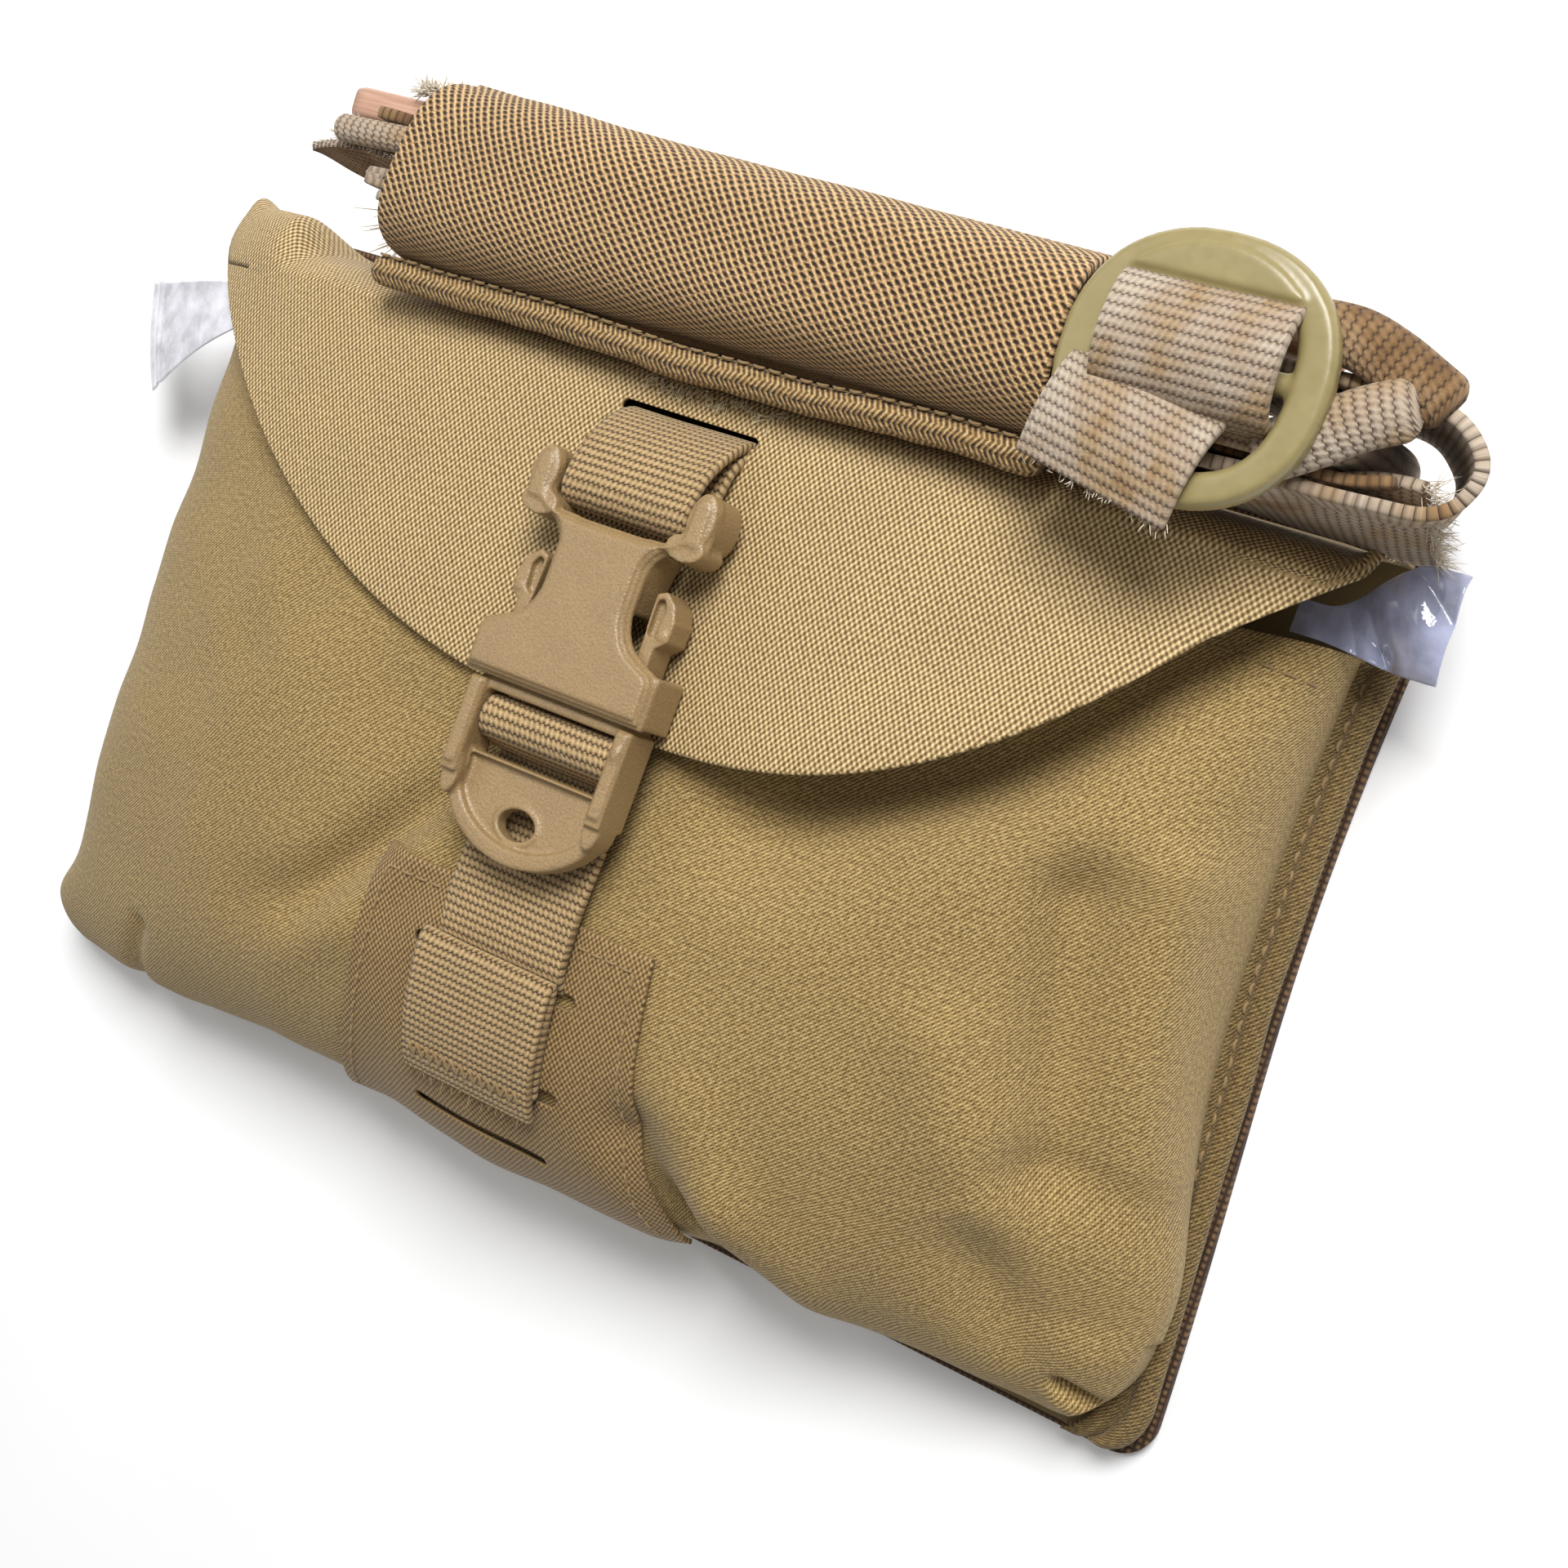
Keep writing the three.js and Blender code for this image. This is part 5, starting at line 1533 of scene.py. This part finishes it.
def right_end():
    """The rolled folds, frayed end and brown strip that show past the sleeve's right end."""
    upper = [(73.4, 72.3, 37.2), (78.4, 72.2, 37.6), (82.6, 71.0, 37.2), (86.4, 69.3, 36.6),
             (89.4, 67.9, 36.0)]
    finger = [(72.6, 58.6, 36.6), (77.4, 61.3, 37.8), (82, 64.4, 38.4), (86.6, 66.8, 38.2)]
    strip = [(66, 58.4), (76, 58.2), (82, 58.4), (86.4, 59.4)]
    rolled("strap_upper_fold", upper, 2.9, 1.9, BROWN_PRINT, "strap_fold_upper")
    rolled("strap_finger", finger, 3.1, 2.2, CAMOUFLAGE, "strap_fold_finger")
    frayed_end()
    upright("strap_brown_strip", strip, 24.0, 36.2, 1.2, steps=40, wave=0.15, seed=66, rests_on="strap_outer",
            material=BROWN_PRINT)


def frayed_end():
    """The strap's cut end, leaning back as it leaves the sleeve, with its threads loose."""
    w, s = shares(30, 70)
    x = 52.0 + 37.4 * s + 0 * w
    lean = smoothstep(0.35, 1.0, s)
    z = 17.4 + 18.0 * w - 1.0 * lean * w
    y = 54.5 + 0.2 * value_noise(x / 6.0, z / 6.0, 65) + 5.6 * lean * w ** 1.3 - 0.6 * lean * (1 - w)
    points = np.dstack([x, y, z])[::-1]
    uv = np.dstack([18.0 * (1 - w) + 0 * s, x - 52.0])
    piece = cloth("strap_frayed", points, 1.3, CAMOUFLAGE, uv=uv, lift=-0.65)
    on_tourniquet(piece, "folded", "strap_outer", "strap_frayed_end")
    fray("frayed_fibres", points[:, -1], 260, 3.0, radius=0.05, way=(0.9, 0.1, 0.3), seed=67)


def rolled(name, way_points, half, high, material, node):
    """A strap end rolled into a flattened tube with a closed tip."""
    line = catmull(way_points, 44)
    angle = np.linspace(0.2, 2 * np.pi + 1.1, 60)
    way = unit(np.gradient(line, axis=0))
    side = unit(np.cross(way, [0, 0, 1.0]))
    over = np.cross(side, way)
    reach = np.linspace(1.0, 0.74, len(angle))
    tip = np.ones(len(line))
    tip[-4:] = [0.97, 0.9, 0.76, 0.5]
    ring_side = half * np.cos(angle) * reach
    ring_over = high * np.sin(angle) * reach
    points = (line[None, :, :] + side[None, :, :] * (ring_side[:, None] * tip[None, :])[:, :, None]
              + over[None, :, :] * (ring_over[:, None] * tip[None, :])[:, :, None])
    on_tourniquet(cloth(name, points, 1.1, material, lift=-0.55), "folded", "strap_middle", node)


def left_end():
    """The leaf-shaped cut end, and the rolled fold, brown end and loose threads beside it."""
    leaf_end()
    roll = catmull([(-44, 68.6, 35.4), (-50, 68.4, 35.8), (-55, 68.2, 35.9), (-59.6, 68.2, 35.6)], 40)
    radius = np.full(40, 1.8)
    radius[-3:] = [1.75, 1.55, 0.9]
    verts, faces, uv = tube_mesh(roll, radius, 24, squash=0.9)
    place(make_object("strap_rolled_fold", verts, faces, CAMOUFLAGE, uv), "tourniquet", "camouflage_strap")
    tip = [(-59.4 + 0.2 * k, 66.8 + 0.14 * k, 35.6) for k in range(20)]
    fray("roll_fibres", tip, 90, 1.9, way=(-1, -0.2, 0.2), seed=73)
    upright("strap_brown_end", [(-43, 70.6), (-48, 71.0), (-53.4, 71.2)], 24.0, 36.2, 1.5, steps=24, seed=74,
            rests_on="strap_outer", material=BROWN_PRINT)
    threads = [(-53.4 + 0.1 * k, 62.8 - 0.16 * k, 21.5) for k in range(22)]
    fray("loose_threads", threads, 170, 7.4, radius=0.1, way=(-1.0, -0.35, 0.0), seed=75)
    scrap = [(-49.0 + 0.25 * k, 75.4, 34.6) for k in range(28)]
    fibres("pale_threads", scrap, FUZZ, "pouch", "elastic", 260, 1.9, radius=0.09, way=(0, 0.3, 0.4), seed=76)


def leaf_end():
    u, v = shares(60, 34)
    x = -45.0 - 21.0 * u + 0 * v
    upper = 35.6 - 3.4 * u
    lower = 19.0 + 13.0 * u ** 1.5
    z = lower + (upper - lower) * v
    y = 65.2 + 1.5 * np.sin(np.pi * u) - 4.6 * (1 - v) * (1 - u ** 2)
    y = y + 0.3 * value_noise(x / 4.0, z / 4.0, 71)
    points = np.dstack([x, y, z])[::-1]
    piece = cloth("strap_leaf", points, 1.2, BROWN_PRINT, lift=-0.6, edge=CAMOUFLAGE)
    on_tourniquet(piece, "folded", "strap_outer", "strap_leaf_end")
    fray("leaf_fibres", points[::2, -1], 70, 1.0, way=(-0.6, 0, 0.6), seed=72)


WINDLASS_X, WINDLASS_Y, WINDLASS_Z = 7.4, 72.2, 29.5
WINDLASS_HALF = (68.6, 2.3, 4.4)
WINDLASS_SIDES = 40
WINDLASS_POWER = 2 / 4.5
RIBBON_HALF = 10


def windlass():
    """A drawn bar with a waisted middle and rounded ends, and the ribbon round it."""
    steps = 140
    t = np.linspace(-1, 1, steps)
    cap = np.sqrt(np.maximum(0.0, 1.0 - np.clip((np.abs(t) - 0.978) / 0.022, 0, 1) ** 2))
    size = (np.maximum(cap, 0.12) * (1.0 - 0.1 * bell(t, 0, 0.12)))[:, None]
    angle = np.linspace(0, 2 * np.pi, WINDLASS_SIDES, endpoint=False)
    half_x, half_y, half_z = WINDLASS_HALF
    section_y = half_y * signed_power(np.cos(angle), WINDLASS_POWER)
    section_z = half_z * signed_power(np.sin(angle), WINDLASS_POWER)
    x = (WINDLASS_X + half_x * t)[:, None]
    verts = np.dstack(np.broadcast_arrays(x, WINDLASS_Y + size * section_y, WINDLASS_Z + size * section_z))
    piece = make_object("windlass_bar", verts.reshape(-1, 3), ring_faces(steps, WINDLASS_SIDES), METAL)
    fix_normals(piece)
    place(piece, "tourniquet", "windlass_metal", "windlass")
    columns, rows = 60, 30
    around = np.linspace(0, 2 * np.pi, columns)[:, None]
    points = np.zeros((columns, rows, 3))
    points[:, :, 0] = np.linspace(-RIBBON_HALF, RIBBON_HALF, rows)
    points[:, :, 1] = WINDLASS_Y + 2.95 * np.cos(around)
    points[:, :, 2] = WINDLASS_Z + 5.15 * np.sin(around)
    points[-1] = points[0]
    ribbon = cloth("windlass_ribbon_loop", points, 0.6, CAMOUFLAGE, lift=-0.3, closed_u=True)
    on_tourniquet(ribbon, "folded", "windlass_bar", "windlass_ribbon")


# ---------- securing ring ----------

TAIL_MIDDLE = (59.4, 56.5)
TAIL_TURN = math.radians(-12)


def ring_outline(radius_x, radius_y, squareness=2.25):
    angle = np.radians(np.linspace(-180.0, 180.0, 72, endpoint=False))
    return np.column_stack([radius_x * signed_power(np.cos(angle), 2 / squareness),
                            radius_y * signed_power(np.sin(angle), 2 / squareness)])


def ring_window(edge, inner):
    """The ring's opening: round inside the rims and straight beneath the lobe."""
    outline = ring_outline(inner, inner, 2.6)
    return np.column_stack([outline[:, 0], np.minimum(outline[:, 1], edge)])


def securing_ring():
    low, high = RING_Z, RING_Z + RING_HEIGHT
    middle = [RING_X, RING_Y - 0.6]
    layers = ((0.5, low, low + 0.6), (0.0, low + 0.4, high - 0.7), (0.5, high - 0.9, high - 0.1))
    body = [prism([ring_outline(15 - inset, 14.5 - inset) + middle,
                   ring_window(7.2 + inset, 10.5 + inset)[::-1] + middle], foot, top)
            for inset, foot, top in layers]
    crown = prism([arc(*middle, 13.2, 12.8, 44, 136, 20)], high - 0.6, high + 0.5)
    bar = tube_mesh([(RING_X + x, RING_Y, low + 1.5) for x in np.linspace(-12.4, 12.4, 12)], 1.35, 16)
    piece = moulded("ring_moulding", [*body, crown, bar], RING_PLASTIC, 0.3, 12)
    place(piece, "securing_ring", "ring_plastic", "securing_ring")


def ring_straps():
    """The strap's turn round the ring's bar, and its tail in front, turned a little to one side."""
    path = [(74.6, 38.0), (73.6, 39.0), (73.0, 40.6), (72.4, 42.2), (70.6, 43.9), (66.8, 44.9), (63.2, 44.2),
            (61.2, 42.6), (60.6, 40.6), (60.2, 38.6), (58.6, 37.6)]
    piece = web("ring_strap_loop", path, 9.8, 1.4, CAMOUFLAGE, RING_X, 90, across=28, seed=81)
    on_tourniquet(piece, "folded", "ring_moulding", "ring_strap")
    columns, rows = 26, 60
    line = catmull([(62.6, 40.8), (60.4, 42.6), (57.4, 43.8), (53.6, 43.8), (49.8, 42.6)], rows)
    width = np.linspace(-9.2, 9.2, columns)[:, None]
    middle_x, middle_y = TAIL_MIDDLE
    y = line[:, 0] - middle_y
    cos, sin = math.cos(TAIL_TURN), math.sin(TAIL_TURN)
    points = np.dstack([middle_x + width * cos - y * sin, middle_y + width * sin + y * cos,
                        line[:, 1] + 0.25 * np.cos(width / 4.0)])[:, ::-1]
    points[:, :, 2] += 0.2 * value_noise(points[:, :, 0] / 5.0, points[:, :, 1] / 5.0, 83)
    tail = cloth("ring_tail_strap", points, 1.4, CAMOUFLAGE, lift=-0.7)
    on_tourniquet(tail, "laid", "ring_moulding", "ring_tail")
    fray("tail_fibres", points[:, 0], 60, 1.2, way=(0.2, -1, 0.1), seed=84)


# ---------- assembly ----------

front = front_cloth()
seam_strip(-1)
seam_strip(1)
mouth_hem(front)
rear_pieces()
pad("dressing", "pressure_dressing", 1)
pad("gauze_roll", "gauze_pack", 2)
film_corner()
film_tab()
flap = flap_cloth()
beside_slit = [(x, 48.4 + 0.5 * math.sin(x)) for x in np.linspace(-5.5, 14, 60)]
slit_edge, _ = top_surface(flap)(beside_slit, 0.1)
front_patch()
strap_lower()
strap_stop()
sleeve()
sleeve_hem()
fibres("slit_fibres", slit_edge, PALE_THREAD, "pouch", "laminate", 160, 1.6, radius=0.09, way=(0, -1, 0.5),
       seed=91)
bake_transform(flap)
buckle_female()
buckle_frame()
buckle_arm(-1)
buckle_arm(1)
flap_webbing()
strap_over_bar()
strap_folds()
right_end()
left_end()
windlass()
securing_ring()
ring_straps()
